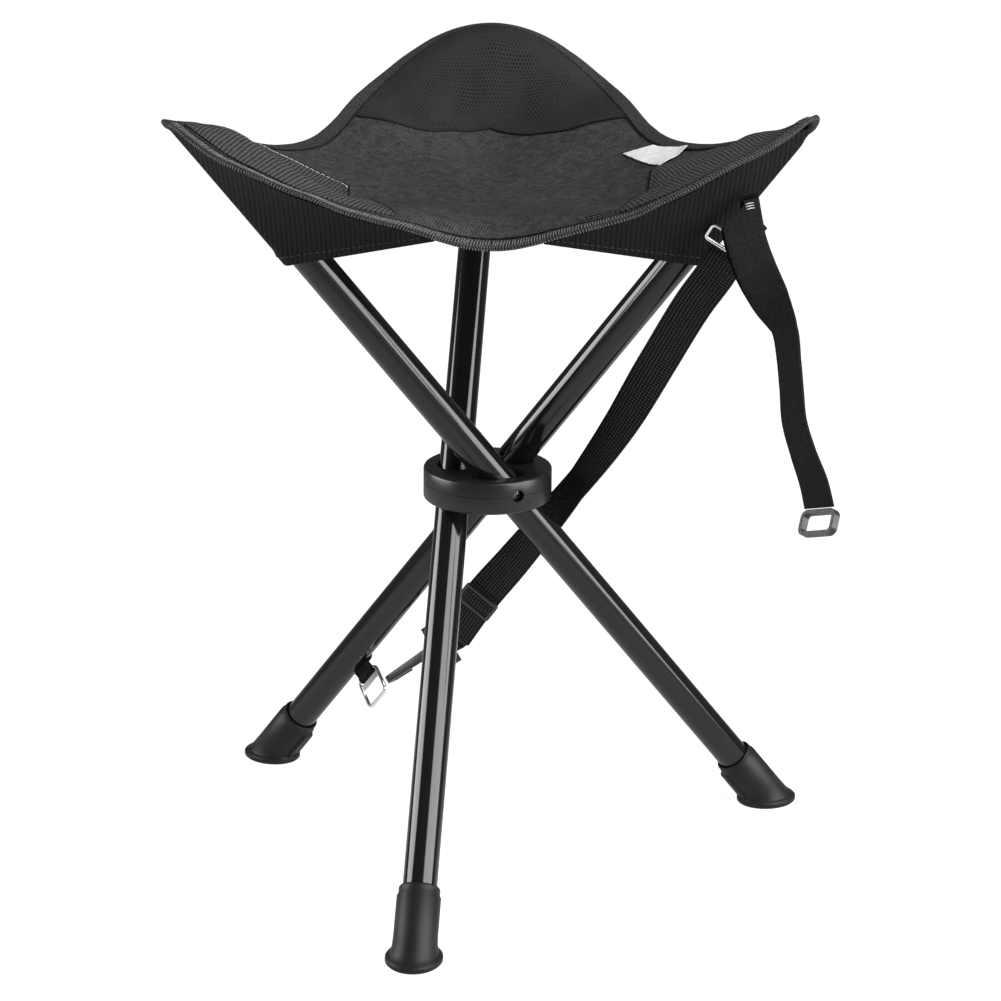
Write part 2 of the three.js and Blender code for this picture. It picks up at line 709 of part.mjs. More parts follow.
// Pocket under a corner: a sheet from the front edge, round the leg's outer side, to the back edge.
function cornerPocket(key) {
  const corner = LEGS[key] - 90 + SEAT_TURN;
  const rounds = [-1, -0.5, 0, 0.5, 1];
  const stations = 9;
  const edgeAt = (turn) => {
    const p = toLegFrame(seatPoint(corner + turn, 0.985, -POCKET_DROP), key);
    const x = p.x;
    const z = p.z - CROSS_Z;
    return {
      s: x * Math.sin(TILT) + z * Math.cos(TILT),
      side: p.y - LEG_OFFSET,
      below: x * Math.cos(TILT) - z * Math.sin(TILT),
    };
  };
  const middleGrid = () => {
    const rows = [];
    for (let i = 0; i <= stations; i++) {
      const t = i / stations;
      const s = 338 + (POCKET_MOUTH - 338) * t;
      const radius = POCKET_R * smooth(0.3 + (338 - s) / 22);
      const centre = 0.8 * (POCKET_R - radius);
      const turn = 4 + (POCKET_TURN - 4) * t;
      const row = [];
      for (const hand of [-1, 1]) {
        const e = edgeAt(hand * turn);
        const reach = Math.hypot(e.side, e.below - centre);
        const bearing = Math.atan2(e.below - centre, e.side);
        const open = Math.acos(Math.min(0.98, radius / reach));
        row.push({ e, touch: bearing + hand * open });
      }
      const [left, right] = row;
      const points = [];
      const outL = V(left.e.s, left.e.side, left.e.below);
      const outR = V(right.e.s, right.e.side, right.e.below);
      const start = ((left.touch % (2 * Math.PI)) + 2 * Math.PI) % (2 * Math.PI);
      const end = ((right.touch % (2 * Math.PI)) + 2 * Math.PI) % (2 * Math.PI);
      const arc = [];
      for (const q of rounds) {
        const a = start + ((end - start) * (q + 1)) / 2;
        arc.push(V(s, radius * Math.cos(a), centre + radius * Math.sin(a)));
      }
      const flank = (from, to, q) => from.clone().lerp(to, q);
      points.push(outL, flank(outL, arc[0], 0.35), flank(outL, arc[0], 0.7));
      points.push(...arc);
      points.push(flank(outR, arc[4], 0.7), flank(outR, arc[4], 0.35), outR);
      rows.push(points.map((q) => underSeat(legPoint(q.x, q.y, q.z), key)));
    }
    return rows;
  };
  const middle = middleGrid();
  const upper = offsetGrid(middle, 0.7);
  const lower = offsetGrid(middle, -0.7);
  return placeLeg(sheet(upper, lower), key);
}

// Keeps a pocket point (leg frame) clear below the seat panel.
function underSeat(p, key) {
  const world = p.clone().applyAxisAngle(V(0, 0, 1), rad(LEGS[key] - 90));
  const azimuth = THREE.MathUtils.radToDeg(Math.atan2(world.y, world.x));
  const k = Math.hypot(world.x, world.y) / edgeRadius(azimuth);
  if (k > 1) {
    return p;
  }
  const ceiling = facetPoint(azimuth, k, -POCKET_CLEAR).z;
  return V(p.x, p.y, Math.min(p.z, ceiling));
}

// Grid of points moved along its own surface normals.
function offsetGrid(grid, amount) {
  const rows = grid.length;
  const cols = grid[0].length;
  return grid.map((row, i) =>
    row.map((p, j) => {
      const a = grid[Math.min(rows - 1, i + 1)][j].clone().sub(grid[Math.max(0, i - 1)][j]);
      const b = grid[i][Math.min(cols - 1, j + 1)].clone().sub(grid[i][Math.max(0, j - 1)]);
      const normal = a.cross(b).normalize();
      return p.clone().addScaledVector(normal, amount);
    }),
  );
}

// ---------------------------------------------------------------- straps, in leg b's frame
const FACING = V(0.564, -0.772, 0.293).normalize(); // the way the straps' faces look

// Stations along a curve through points, faces turned by a twist in degrees at each point.
function ribbonStations(points, twists, count) {
  const line = new THREE.CatmullRomCurve3(points, false, "centripetal");
  const stations = [];
  for (let i = 0; i <= count; i++) {
    const t = i / count;
    const p = line.getPoint(t);
    const tangent = line.getTangent(t);
    const face = FACING.clone().addScaledVector(tangent, -FACING.dot(tangent)).normalize();
    const where = t * (twists.length - 1);
    const j = Math.min(twists.length - 2, Math.floor(where));
    const twist = twists[j] + (twists[j + 1] - twists[j]) * (where - j);
    face.applyAxisAngle(tangent, rad(twist));
    stations.push({ p, face, across: tangent.clone().cross(face).normalize(), tangent });
  }
  return stations;
}

const SHOULDER = ribbonStations(
  [
    V(176, 9.5, 430), V(163, 14.5, 413.5), V(144, 20, 390.5), V(112, 29.5, 345), V(82, 33.5, 298),
    V(46, 37, 249.5), V(-4, 37.5, 187), V(-31, 37, 154.5), V(-57.5, 41.3, 119.8),
  ],
  [0, 0, 0, 0, 25, 48, 20, 4, 4],
  35,
);

const STORAGE = ribbonStations(
  [
    V(194.5, -4.4, 454), V(197, -4.4, 445), V(204.9, -4.4, 428), V(216, -4.4, 411), V(227, -4.4, 393.7),
    V(231, -4.4, 374.4), V(233.7, -4.4, 355.8), V(236.5, -4.4, 336.4), V(243.5, -4.4, 318),
    V(252, -4.4, 300), V(256.7, -4.4, 285),
  ],
  [0, 0, 5, 25, 58, 62, 62, 60, 58, 52, 50],
  30,
);

const ALONG = V(Math.sin(TILT), 0, Math.cos(TILT)); // up the leg
const BELOW = V(Math.cos(TILT), 0, -Math.sin(TILT)); // square to the leg, on its underside
const SIDE = V(0, 1, 0);

// Slide adjuster lying on the strap's face: a frame with a middle bar.
const ADJUSTER = { station: 31, half: 13.6, length: 16.8, bar: 2.6, thick: 3, gap: 0.5 };

function strapAdjuster() {
  const { p, face, across, tangent } = SHOULDER[ADJUSTER.station];
  const shape = new THREE.Shape();
  const w = ADJUSTER.half;
  const l = ADJUSTER.length / 2;
  const round = 2.5;
  shape.moveTo(-w + round, -l);
  shape.lineTo(w - round, -l);
  shape.quadraticCurveTo(w, -l, w, -l + round);
  shape.lineTo(w, l - round);
  shape.quadraticCurveTo(w, l, w - round, l);
  shape.lineTo(-w + round, l);
  shape.quadraticCurveTo(-w, l, -w, l - round);
  shape.lineTo(-w, -l + round);
  shape.quadraticCurveTo(-w, -l, -w + round, -l);
  for (const way of [-1, 1]) {
    const near = (way * ADJUSTER.bar) / 2;
    const far = way * (l - ADJUSTER.bar);
    const inner = w - ADJUSTER.bar;
    shape.holes.push(new THREE.Path([
      new THREE.Vector2(-inner, near), new THREE.Vector2(inner, near),
      new THREE.Vector2(inner, far), new THREE.Vector2(-inner, far),
    ]));
  }
  const body = new THREE.ExtrudeGeometry(shape, {
    depth: ADJUSTER.thick - 1, bevelEnabled: true, bevelThickness: 0.5, bevelSize: 0.5, bevelOffset: -0.5,
    bevelSegments: 1, curveSegments: 3,
  });
  const length = tangent.clone().normalize();
  const out = face.clone().normalize();
  const wide = length.clone().cross(out);
  const start = p.clone().addScaledVector(out, WEB_THICK / 2 + ADJUSTER.gap + 0.5);
  body.applyMatrix4(new THREE.Matrix4().makeBasis(wide, length, out).setPosition(start));
  return placeLeg(body, "b");
}

// ---- snap hook: J-shaped body with a strap loop, and a gate that turns inward ----
const HOOK_FROM = legPoint(-160, 16, 40);
const HOOK_TO = legPoint(-207, 4, 31);
const HOOK = { eye: 3, bar: 3.2, bend: 40, nose: 28, wide: 7, pivot: 13 };

function hookFrame() {
  const a = HOOK_TO.clone().sub(HOOK_FROM).normalize();
  const c = BELOW.clone().addScaledVector(a, -BELOW.dot(a)).normalize();
  const b = c.clone().cross(a).normalize();
  return { a, b: b.y > 0 ? b : b.negate(), c };
}

function intoHook(geometry) {
  const { a, b, c } = hookFrame();
  const across = a.clone().cross(b).dot(c) > 0 ? c : c.clone().negate();
  geometry.applyMatrix4(new THREE.Matrix4().makeBasis(a, b, across).setPosition(HOOK_FROM));
  return placeLeg(geometry, "b");
}

function hookOutline() {
  const inner = HOOK.eye;
  const outer = HOOK.eye + HOOK.bar;
  const shape = new THREE.Shape();
  shape.moveTo(1, -outer);
  shape.lineTo(HOOK.bend - 1, -outer);
  shape.absarc(HOOK.bend, 0, outer, -Math.PI / 2, Math.PI / 2, false);
  shape.lineTo(HOOK.nose, outer);
  shape.lineTo(HOOK.nose, inner);
  shape.absarc(HOOK.bend, 0, inner, Math.PI / 2, -Math.PI / 2, true);
  shape.lineTo(HOOK.pivot - 4, -inner);
  shape.lineTo(HOOK.pivot - 4, outer);
  shape.lineTo(1, outer);
  return shape;
}

function box(x0, x1, y0, y1, z0, z1) {
  const body = new THREE.BoxGeometry(x1 - x0, y1 - y0, z1 - z0);
  return body.translate((x0 + x1) / 2, (y0 + y1) / 2, (z0 + z1) / 2);
}

function hookBody() {
  const plate = new THREE.ExtrudeGeometry(hookOutline(), {
    depth: HOOK.wide, bevelEnabled: false, curveSegments: 10,
  });
  plate.translate(0, 0, -HOOK.wide / 2);
  const position = plate.attributes.position;
  for (let i = 0; i < position.count; i++) {
    const narrow = 1 - 0.4 * Math.min(1, Math.max(0, position.getX(i) / 55));
    position.setZ(i, position.getZ(i) * narrow);
  }
  const half = WEBBING / 2 + 1;
  const outer = half + 3;
  const loop = cut(box(-11, 2.5, -2.6, 2.6, -outer, outer), box(-7.6, -1.6, -4, 4, -half, half));
  const cheeks = [-1, 1].map((way) => {
    const z = [2.1 * way, 3.3 * way].sort((p, q) => p - q);
    return box(HOOK.pivot - 4.5, HOOK.pivot + 2, 1.6, 6.2, z[0], z[1]);
  });
  const pin = rod(1.15, -6, 6, 16).translate(HOOK.pivot, 3.9, 0);
  return intoHook(cut(join(plate, loop, ...cheeks), pin));
}

function hookGate() {
  const bar = box(HOOK.pivot, HOOK.nose - 0.5, 2.9, 4.9, -1.6, 1.6);
  const knuckle = rod(2, -1.7, 1.7, 16).translate(HOOK.pivot, 3.9, 0);
  const pin = rod(0.8, -3.2, 3.2, 16).translate(HOOK.pivot, 3.9, 0);
  return intoHook(join(bar, knuckle, pin));
}

// ---- rings and tabs ----
const LOWER_RING = { s: -211, bar: 18.6, halfU: 11, halfV: 10.5, swing: 20, plate: 4.2 };
const UPPER_BAR = legPoint(259.5, -17, 24.5);
const UPPER_DIR = SHOULDER[0].tangent.clone();
const UPPER_RING_LENGTH = 13;

// The way the ring hangs from the tab's end, pulled to one side by the hook.
const RING_DOWN = BELOW.clone().applyAxisAngle(ALONG, rad(-LOWER_RING.swing));

// Wire ring with a flat plate beside the bar that sits in the tab.
function lowerRing() {
  const { s, bar, halfU, halfV, plate } = LOWER_RING;
  const hinge = legPoint(s, 0, bar);
  const centre = hinge.clone().addScaledVector(RING_DOWN, halfV);
  const wire = wireRing(centre, ALONG, RING_DOWN, halfU, halfV, RING_WIRE);
  const flat = box(-halfU, halfU, 3.7, 3.7 + plate, -0.5, 0.5);
  flat.applyMatrix4(new THREE.Matrix4().makeBasis(ALONG, RING_DOWN, ALONG.clone().cross(RING_DOWN)));
  return placeLeg(join(wire, flat.translate(hinge.x, hinge.y, hinge.z)), "b");
}

// Webbing tab held to the tube's rear side, with the ring's bar in its lower end.
function lowerTab() {
  const low = -LOWER_RING.bar;
  const half = 7.5;
  const round = rod(TUBE_R + 1.9, -half, half, 40);
  const bore = rod(TUBE_R + 0.4, -12, 12, 40);
  const saddle = cut(round, bore, box(-20, -1.6, -20, 20, -12, 12), box(-20, 20, 6, 20, -12, 12));
  const tail = box(-1.6, 1.6, low, -TUBE_R - 1, -half, half);
  const eye = rod(3, -half, half, 20).translate(0, low, 0);
  const ringHole = rod(RING_WIRE + 0.4, -12, 12, 16).translate(0, low, 0);
  const body = cut(join(saddle, tail, eye), bore, ringHole);
  const up = BELOW.clone().negate();
  const basis = new THREE.Matrix4().makeBasis(up.clone().cross(ALONG), up, ALONG);
  body.applyMatrix4(basis.setPosition(legPoint(LOWER_RING.s, 0, 0)));
  return placeLeg(body, "b");
}

function upperRing() {
  const across = SHOULDER[0].across;
  const centre = UPPER_BAR.clone().addScaledVector(UPPER_DIR, UPPER_RING_LENGTH / 2);
  return placeLeg(wireRing(centre, across, UPPER_DIR, 15, UPPER_RING_LENGTH / 2, RING_WIRE, 2.5), "b");
}

function upperTab() {
  const body = box(-8, 8, -10, 10, -0.6, 0.6);
  const from = legPoint(263, -16.5, 26.5);
  const to = legPoint(279, -13.5, 26.5);
  const along = to.clone().sub(from).normalize();
  const wide = BELOW.clone().addScaledVector(along, -BELOW.dot(along)).normalize();
  body.applyMatrix4(new THREE.Matrix4().makeBasis(along, wide, along.clone().cross(wide)));
  const at = from.clone().lerp(to, 0.5);
  return placeLeg(body.translate(at.x, at.y, at.z), "b");
}

// Flat rounded frame hanging from the storage strap's end.
const STORAGE_RING = { halfWide: 14.5, halfTall: 8.4, wall: 2.6, deep: 5, corner: 5, gap: 1.6, tilt: 35 };

function roundedPath(path, halfWide, halfTall, corner) {
  const [w, h] = [halfWide - corner, halfTall - corner];
  path.absarc(w, h, corner, 0, Math.PI / 2, false);
  path.absarc(-w, h, corner, Math.PI / 2, Math.PI, false);
  path.absarc(-w, -h, corner, Math.PI, 1.5 * Math.PI, false);
  path.absarc(w, -h, corner, 1.5 * Math.PI, 2 * Math.PI, false);
  path.closePath();
  return path;
}

function storageRing() {
  const { halfWide, halfTall, wall, deep, corner, gap, tilt } = STORAGE_RING;
  const shape = roundedPath(new THREE.Shape(), halfWide, halfTall, corner);
  shape.holes.push(roundedPath(new THREE.Path(), halfWide - wall, halfTall - wall, corner - wall));
  const frame = new THREE.ExtrudeGeometry(shape, { depth: deep, bevelEnabled: false, curveSegments: 6 });
  frame.translate(0, wall / 2 - halfTall, -deep / 2);
  frame.rotateX(rad(tilt));
  frame.translate(0, -gap - wall / 2, 0);
  const { p, across, tangent } = STORAGE[STORAGE.length - 1];
  const up = tangent.clone().negate();
  frame.applyMatrix4(new THREE.Matrix4().makeBasis(across, up, across.clone().cross(up)).setPosition(p));
  return placeLeg(frame, "b");
}

// ---------------------------------------------------------------- assembly
add("hub_upper_shell", hubUpper(), blackPlastic);
add("hub_lower_shell", hubLower(), blackPlastic);
for (const key of Object.keys(LEGS)) {
  add(`pivot_screw_${key}`, placeLeg(pivotScrew(), key), darkSteel);
  add(`hub_closing_screw_${key}`, placeLeg(closingScrew(), key), darkSteel);
  add(`leg_tube_${key}`, placeLeg(legTube(), key), blackPaint);
  add(`top_cap_${key}`, placeLeg(topCap(), key), blackPlastic);
  add(`foot_${key}`, placeLeg(foot(), key), rubber);
  add(`corner_pocket_${key}`, cornerPocket(key), oxford);
  add(`corner_patch_${key}`, cornerPatch(LEGS[key] - 90 + SEAT_TURN), meshCloth);
}
add("seat_panel", seatPanel(), oxford);
add("edge_binding_front", edgeBinding(FRONT), trim);
add("edge_binding_right", edgeBinding(FRONT + 120), trim);
add("edge_binding_left", edgeBinding(FRONT + 240), trim);
add("care_label", careLabel(), labelCloth);
add("shoulder_strap", placeLeg(band(SHOULDER, WEBBING, WEB_THICK), "b"), webbing);
add("strap_adjuster", strapAdjuster(), blackPlastic);
add("snap_hook", hookBody(), blackPlastic);
add("snap_hook_gate", hookGate(), blackPlastic);
add("lower_ring", lowerRing(), chrome);
add("lower_ring_tab", lowerTab(), webbing);
add("upper_ring", upperRing(), chrome);
add("upper_ring_tab", upperTab(), webbing);
add("storage_strap", placeLeg(band(STORAGE, WEBBING, 3), "b"), velcro);
add("storage_ring", storageRing(), blackPlastic);

export default group;
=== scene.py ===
import json
import math
import random

import bmesh
import bpy
from mathutils import Matrix, Vector, noise


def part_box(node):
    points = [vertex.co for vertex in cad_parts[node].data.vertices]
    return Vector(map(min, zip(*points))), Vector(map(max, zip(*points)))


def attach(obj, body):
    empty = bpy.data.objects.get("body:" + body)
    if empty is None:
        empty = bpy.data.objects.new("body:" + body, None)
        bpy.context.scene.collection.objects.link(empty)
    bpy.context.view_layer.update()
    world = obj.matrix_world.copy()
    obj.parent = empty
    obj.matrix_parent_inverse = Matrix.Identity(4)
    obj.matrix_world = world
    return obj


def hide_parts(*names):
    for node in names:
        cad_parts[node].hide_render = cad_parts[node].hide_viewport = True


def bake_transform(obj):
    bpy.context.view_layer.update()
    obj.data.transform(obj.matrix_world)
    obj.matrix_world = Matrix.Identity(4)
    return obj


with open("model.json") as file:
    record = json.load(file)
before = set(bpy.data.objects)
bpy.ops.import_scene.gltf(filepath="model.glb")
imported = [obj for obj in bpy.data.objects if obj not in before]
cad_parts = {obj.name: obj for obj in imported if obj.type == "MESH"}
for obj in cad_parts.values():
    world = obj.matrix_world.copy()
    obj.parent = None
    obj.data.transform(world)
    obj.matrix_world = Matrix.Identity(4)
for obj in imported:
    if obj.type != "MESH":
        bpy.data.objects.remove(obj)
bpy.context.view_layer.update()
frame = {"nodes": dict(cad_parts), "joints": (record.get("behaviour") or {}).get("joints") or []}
random.seed(4)

# ---------------------------------------------------------------- dimensions, millimetres
# Own geometry is written in millimetres about the hub axis, with z up from the floor.
MM = 0.001
TILT = math.radians(39.16)  # lean of each leg from the vertical
CROSS_Z = 257.7  # height of the hub, where the legs cross
LEG_OFFSET = 21.57  # hub axis to leg axis
LEGS = {"a": 300.0, "b": 60.0, "c": 180.0}  # direction of each leg's pivot from the hub axis, degrees

SEAT_TURN = 6.06  # turn of the seat's corners towards the upper ends of the legs, degrees
EDGE_TURN = (0, 5, 10, 16, 23, 32, 45, 60)  # degrees from the nearest corner, for radius and height
EDGE_RADIUS = {
    "front": (224, 220, 215, 207, 194, 171, 150, 140),  # the two front corners
    "back": (225, 225, 221, 211, 196, 172, 150, 140),
}
EDGE_HEIGHT = (260.4, 258, 252, 242, 231, 224, 213, 209.5)  # above the hub
SEAT_CENTRE = 188.0  # above the hub
# Rise of the cloth from the centre (0) to the edge (1) along a corner direction, by share of the radius.
RISE_AT = (0, 0.3, 0.45, 0.55, 0.667, 0.756, 0.8, 0.85, 0.9, 0.95, 1)
RISE = {
    "front": (0, 0.007, 0.028, 0.097, 0.27, 0.594, 0.76, 0.82, 0.85, 0.92, 1),
    "back": (0, 0.007, 0.028, 0.097, 0.27, 0.594, 0.76, 0.95, 1, 1, 1),
}
FRONT = 276.06  # direction of the middle of the front edge, degrees
FRONT_DROOP = 24.5  # hang of the front edge in its middle
CORNER_SETTLE = 7.0  # how much lower the edge lies at corner a
# Dip of the front hem, by angle from corner a round to corner c.
FRONT_SAG_AT = (0, 5, 10, 15, 20, 25, 30, 35, 40, 45, 60, 75, 80, 85, 90, 95, 100, 105, 110, 115, 120)
FRONT_SAG = (0, 5, 8.5, 8, 8.3, 8.5, 11, 8.5, 4, 1, 0, 2.3, 5.5, 9.5, 11.5, 7, 4.5, 4, 6, 5, 0)
LEFT_SAG = {"middle": 168, "half": 34, "depth": 3.2}  # hollow in the left edge near the back corner
CLOTH = 1.3  # thickness of the seat cloth
BEND_FROM = 72.0  # along each corner direction, where the cloth would start to follow the leg; bend() reads it but bends nothing
BEND_TO = 125.0
PATCH_SEAM = {  # inner edge of each patch: distance along the corner direction, by distance to one side
    "a": ((-100, -77, -60, -44, -32, 26), (119, 112, 103, 93, 86, 118)),
    "b": ((-94, -61, 60), (138, 141, 86)),
    "c": ((-89, -57, -28, 1, 25, 42, 65, 89), (119.4, 119.7, 127.8, 141.9, 134.4, 124.1, 119.5, 118.1)),
}

PATCH_GRAIN = {"a": -12.0, "b": 24.0, "c": 96.0}  # direction across the ribs
PATCH_ROWS_A = (
    ((-155, 9), (-136, -6), (-119, -14), (-101, -21), (-90, -27), (-88, -33)),
    ((-150, -71), (-138, -92), (-125, -108), (-108, -116), (-91, -118)),
)
PATCH_ROWS_B = (
    ((108, 16), (108, -110), (94, -138)), ((114, 10), (114, -112), (101, -140)),
    ((122, 4), (122, -112), (110, -138)),
)
LABEL = ((81, 72), (100, 79), (125, 56), (108, 27))  # left, top, right and bottom corners

POCKET_R = 14.0  # round its leg
POCKET_MOUTH = 218.0  # open lower end, along the leg from the hub
POCKET_TURN = 47.0  # degrees from the corner to each end of the mouth
POCKET_DROP = 3.0  # below the seat's edge

WEBBING = 25.0  # width of the straps
FACING = Vector((0.564, -0.772, 0.293)).normalized()  # way the straps face, in leg b's frame


def hub_axis():
    """Where the hub axis stands in the frame, from the three fold joints."""
    folds = [j["pos_m"] for j in frame["joints"] if j["name"].startswith("fold_")]
    return Vector([sum(p[i] for p in folds) / len(folds) for i in (0, 1)] + [0.0])


AXIS = hub_axis()


def to_frame(p):
    return Vector(p) * MM + AXIS


# ---------------------------------------------------------------- small maths
def smooth(x):
    t = min(1.0, max(0.0, x))
    return t * t * (3 - 2 * t)


def curve(xs, ys, x):
    """Hermite curve through points, level at both ends."""
    i = 0
    while i < len(xs) - 2 and x > xs[i + 1]:
        i += 1

    def slope(j):
        if j <= 0 or j >= len(xs) - 1:
            return 0.0
        return (ys[j + 1] - ys[j - 1]) / (xs[j + 1] - xs[j - 1])

    h = xs[i + 1] - xs[i]
    t = min(1.0, max(0.0, (x - xs[i]) / h))
    a, b = ys[i], ys[i + 1]
    m, n = slope(i) * h, slope(i + 1) * h
    return (
        (2 * t**3 - 3 * t**2 + 1) * a + (t**3 - 2 * t**2 + t) * m
        + (3 * t**2 - 2 * t**3) * b + (t**3 - t**2) * n
    )


def linear(xs, ys, x):
    """Straight lines through points, level beyond both ends."""
    i = 0
    while i < len(xs) - 2 and x > xs[i + 1]:
        i += 1
    t = min(1.0, max(0.0, (x - xs[i]) / (xs[i + 1] - xs[i])))
    return ys[i] + (ys[i + 1] - ys[i]) * t


def spread(low, high, count):
    """Even steps from low to high, both included."""
    return [low + (high - low) * i / (count - 1) for i in range(count)]


def catmull(points, t):
    """Point on a centripetal Catmull-Rom curve, t from 0 to 1."""
    pts = [Vector(p) for p in points]
    pts = [pts[0] * 2 - pts[1]] + pts + [pts[-1] * 2 - pts[-2]]
    where = min(len(pts) - 3 - 1e-6, max(0.0, t * (len(pts) - 3)))
    i = int(where)
    w = where - i
    p0, p1, p2, p3 = pts[i : i + 4]
    d0, d1, d2 = ((q - p).length ** 0.5 for p, q in ((p0, p1), (p1, p2), (p2, p3)))
    m1 = ((p1 - p0) / d0 - (p2 - p0) / (d0 + d1) + (p2 - p1) / d1) * d1
    m2 = ((p2 - p1) / d1 - (p3 - p1) / (d1 + d2) + (p3 - p2) / d2) * d1
    return (
        p1 * (2 * w**3 - 3 * w**2 + 1) + m1 * (w**3 - 2 * w**2 + w)
        + p2 * (3 * w**2 - 2 * w**3) + m2 * (w**3 - w**2)
    )


def turned(p, degrees):
    """p turned about the hub axis."""
    a = math.radians(degrees)
    c, s = math.cos(a), math.sin(a)
    return Vector((p[0] * c - p[1] * s, p[0] * s + p[1] * c, p[2]))


def leg_point(s, side, below):
    """Leg frame point from distance along the leg, sideways, and square below the leg."""
    x = s * math.sin(TILT) + below * math.cos(TILT)
    z = s * math.cos(TILT) - below * math.sin(TILT)
    return Vector((x, LEG_OFFSET + side, CROSS_Z + z))


def place_leg(p, key):
    return turned(p, LEGS[key] - 90)


# ---------------------------------------------------------------- meshes
SHARP_EDGE = 58.0  # degrees between faces above which an edge isn't smoothed


def build(name, verts, faces, material, uvs=None):
    """Mesh object from points about the hub axis; uvs, one per point, are millimetres too."""
    mesh = bpy.data.meshes.new(name)
    mesh.from_pydata([to_frame(p) for p in verts], [], faces)
    if uvs:
        layer = mesh.uv_layers.new(name="weave")
        for loop in mesh.loops:
            layer.data[loop.index].uv = uvs[loop.vertex_index]
    fix_normals(mesh)
    mesh.shade_smooth()
    mesh.set_sharp_from_angle(angle=math.radians(SHARP_EDGE))
    mesh.materials.append(material)
    obj = bpy.data.objects.new(name, mesh)
    bpy.context.scene.collection.objects.link(obj)
    return obj


def fix_normals(mesh):
    work = bmesh.new()
    work.from_mesh(mesh)
    bmesh.ops.recalc_face_normals(work, faces=work.faces)
    work.to_mesh(mesh)
    work.free()


def sheet_faces(rows, cols):
    """Faces of a closed sheet: rows x cols points of one side, then the same of the other."""
    n = rows * cols
    faces = []
    for i in range(rows - 1):
        for j in range(cols - 1):
            a, b = i * cols + j, i * cols + j + 1
            c, d = b + cols, a + cols
            faces.append((a, b, c, d))
            faces.append((n + d, n + c, n + b, n + a))
    rim = [(i, 0) for i in range(rows)] + [(rows - 1, j) for j in range(1, cols)]
    rim += [(i, cols - 1) for i in range(rows - 2, -1, -1)] + [(0, j) for j in range(cols - 2, 0, -1)]
    for k, (i, j) in enumerate(rim):
        i2, j2 = rim[(k + 1) % len(rim)]
        a, b = i * cols + j, i2 * cols + j2
        faces.append((a, n + a, n + b, b))
    return faces


def sheet(name, upper, lower, material, uv=None):
    """Closed sheet between two grids of points; uv(point, i, j) gives the weave coordinates."""
    rows, cols = len(upper), len(upper[0])
    verts = [p for row in upper for p in row] + [p for row in lower for p in row]
    uvs = None
    if uv:
        uvs = [uv(upper[i][j], i, j) for i in range(rows) for j in range(cols)] * 2
    return build(name, verts, sheet_faces(rows, cols), material, uvs)


def loft(name, rings, material, uvs=None):
    """Closed body swept through equal rings of points, both ends filled."""
    sides = len(rings[0])
    verts = [p for ring in rings for p in ring]
    faces = []
    for i in range(len(rings) - 1):
        for j in range(sides):
            k = (j + 1) % sides
            faces.append((i * sides + j, i * sides + k, (i + 1) * sides + k, (i + 1) * sides + j))
    last = (len(rings) - 1) * sides
    faces.append(tuple(reversed(range(sides))))
    faces.append(tuple(last + j for j in range(sides)))
    return build(name, verts, faces, material, uvs)


def threads(name, segments, radius, material, sides=6):
    """Many short round-ended threads as one object; each segment is a list of points."""
    verts, faces = [], []
    for points in segments:
        path = [Vector(p) for p in points]
        base = len(verts)
        rings = []
        for i, p in enumerate(path):
            ahead = path[min(i + 1, len(path) - 1)] - path[max(i - 1, 0)]
            tangent = ahead.normalized()
            side = tangent.orthogonal().normalized()
            up = tangent.cross(side)
            size_here = radius * (0.55 if i in (0, len(path) - 1) else 1.0)
            turns = [2 * math.pi * k / sides for k in range(sides)]
            rings.append([p + (side * math.cos(turn) + up * math.sin(turn)) * size_here for turn in turns])
        for i in range(len(rings) - 1):
            for j in range(sides):
                k = (j + 1) % sides
                faces.append((base + i * sides + j, base + i * sides + k,
                              base + (i + 1) * sides + k, base + (i + 1) * sides + j))
        last = base + (len(rings) - 1) * sides
        faces.append(tuple(base + j for j in reversed(range(sides))))
        faces.append(tuple(last + j for j in range(sides)))
        verts += [p for ring in rings for p in ring]
    return build(name, verts, faces, material)


def stitches(path, length, gap, sink):
    """Cuts a dense path into separate stitches, with their ends sunk into the cloth along its normal."""
    out = []
    run, current = 0.0, [path[0]]
    want, pen = length, True
    for (p, _), (q, m) in zip(path, path[1:]):
        run += (Vector(q) - Vector(p)).length
        if pen:
            current.append((q, m))
        if run >= want:
            if pen and len(current) > 1:
                pts = [Vector(c[0]) for c in current]
                norm = Vector(current[0][1])
                if len(pts) > 2:
                    pts[0] -= norm * sink
                    pts[-1] -= norm * sink
                out.append(pts)
            pen = not pen
            want = length if pen else gap
            run = 0.0
            current = [(q, m)]
    return out


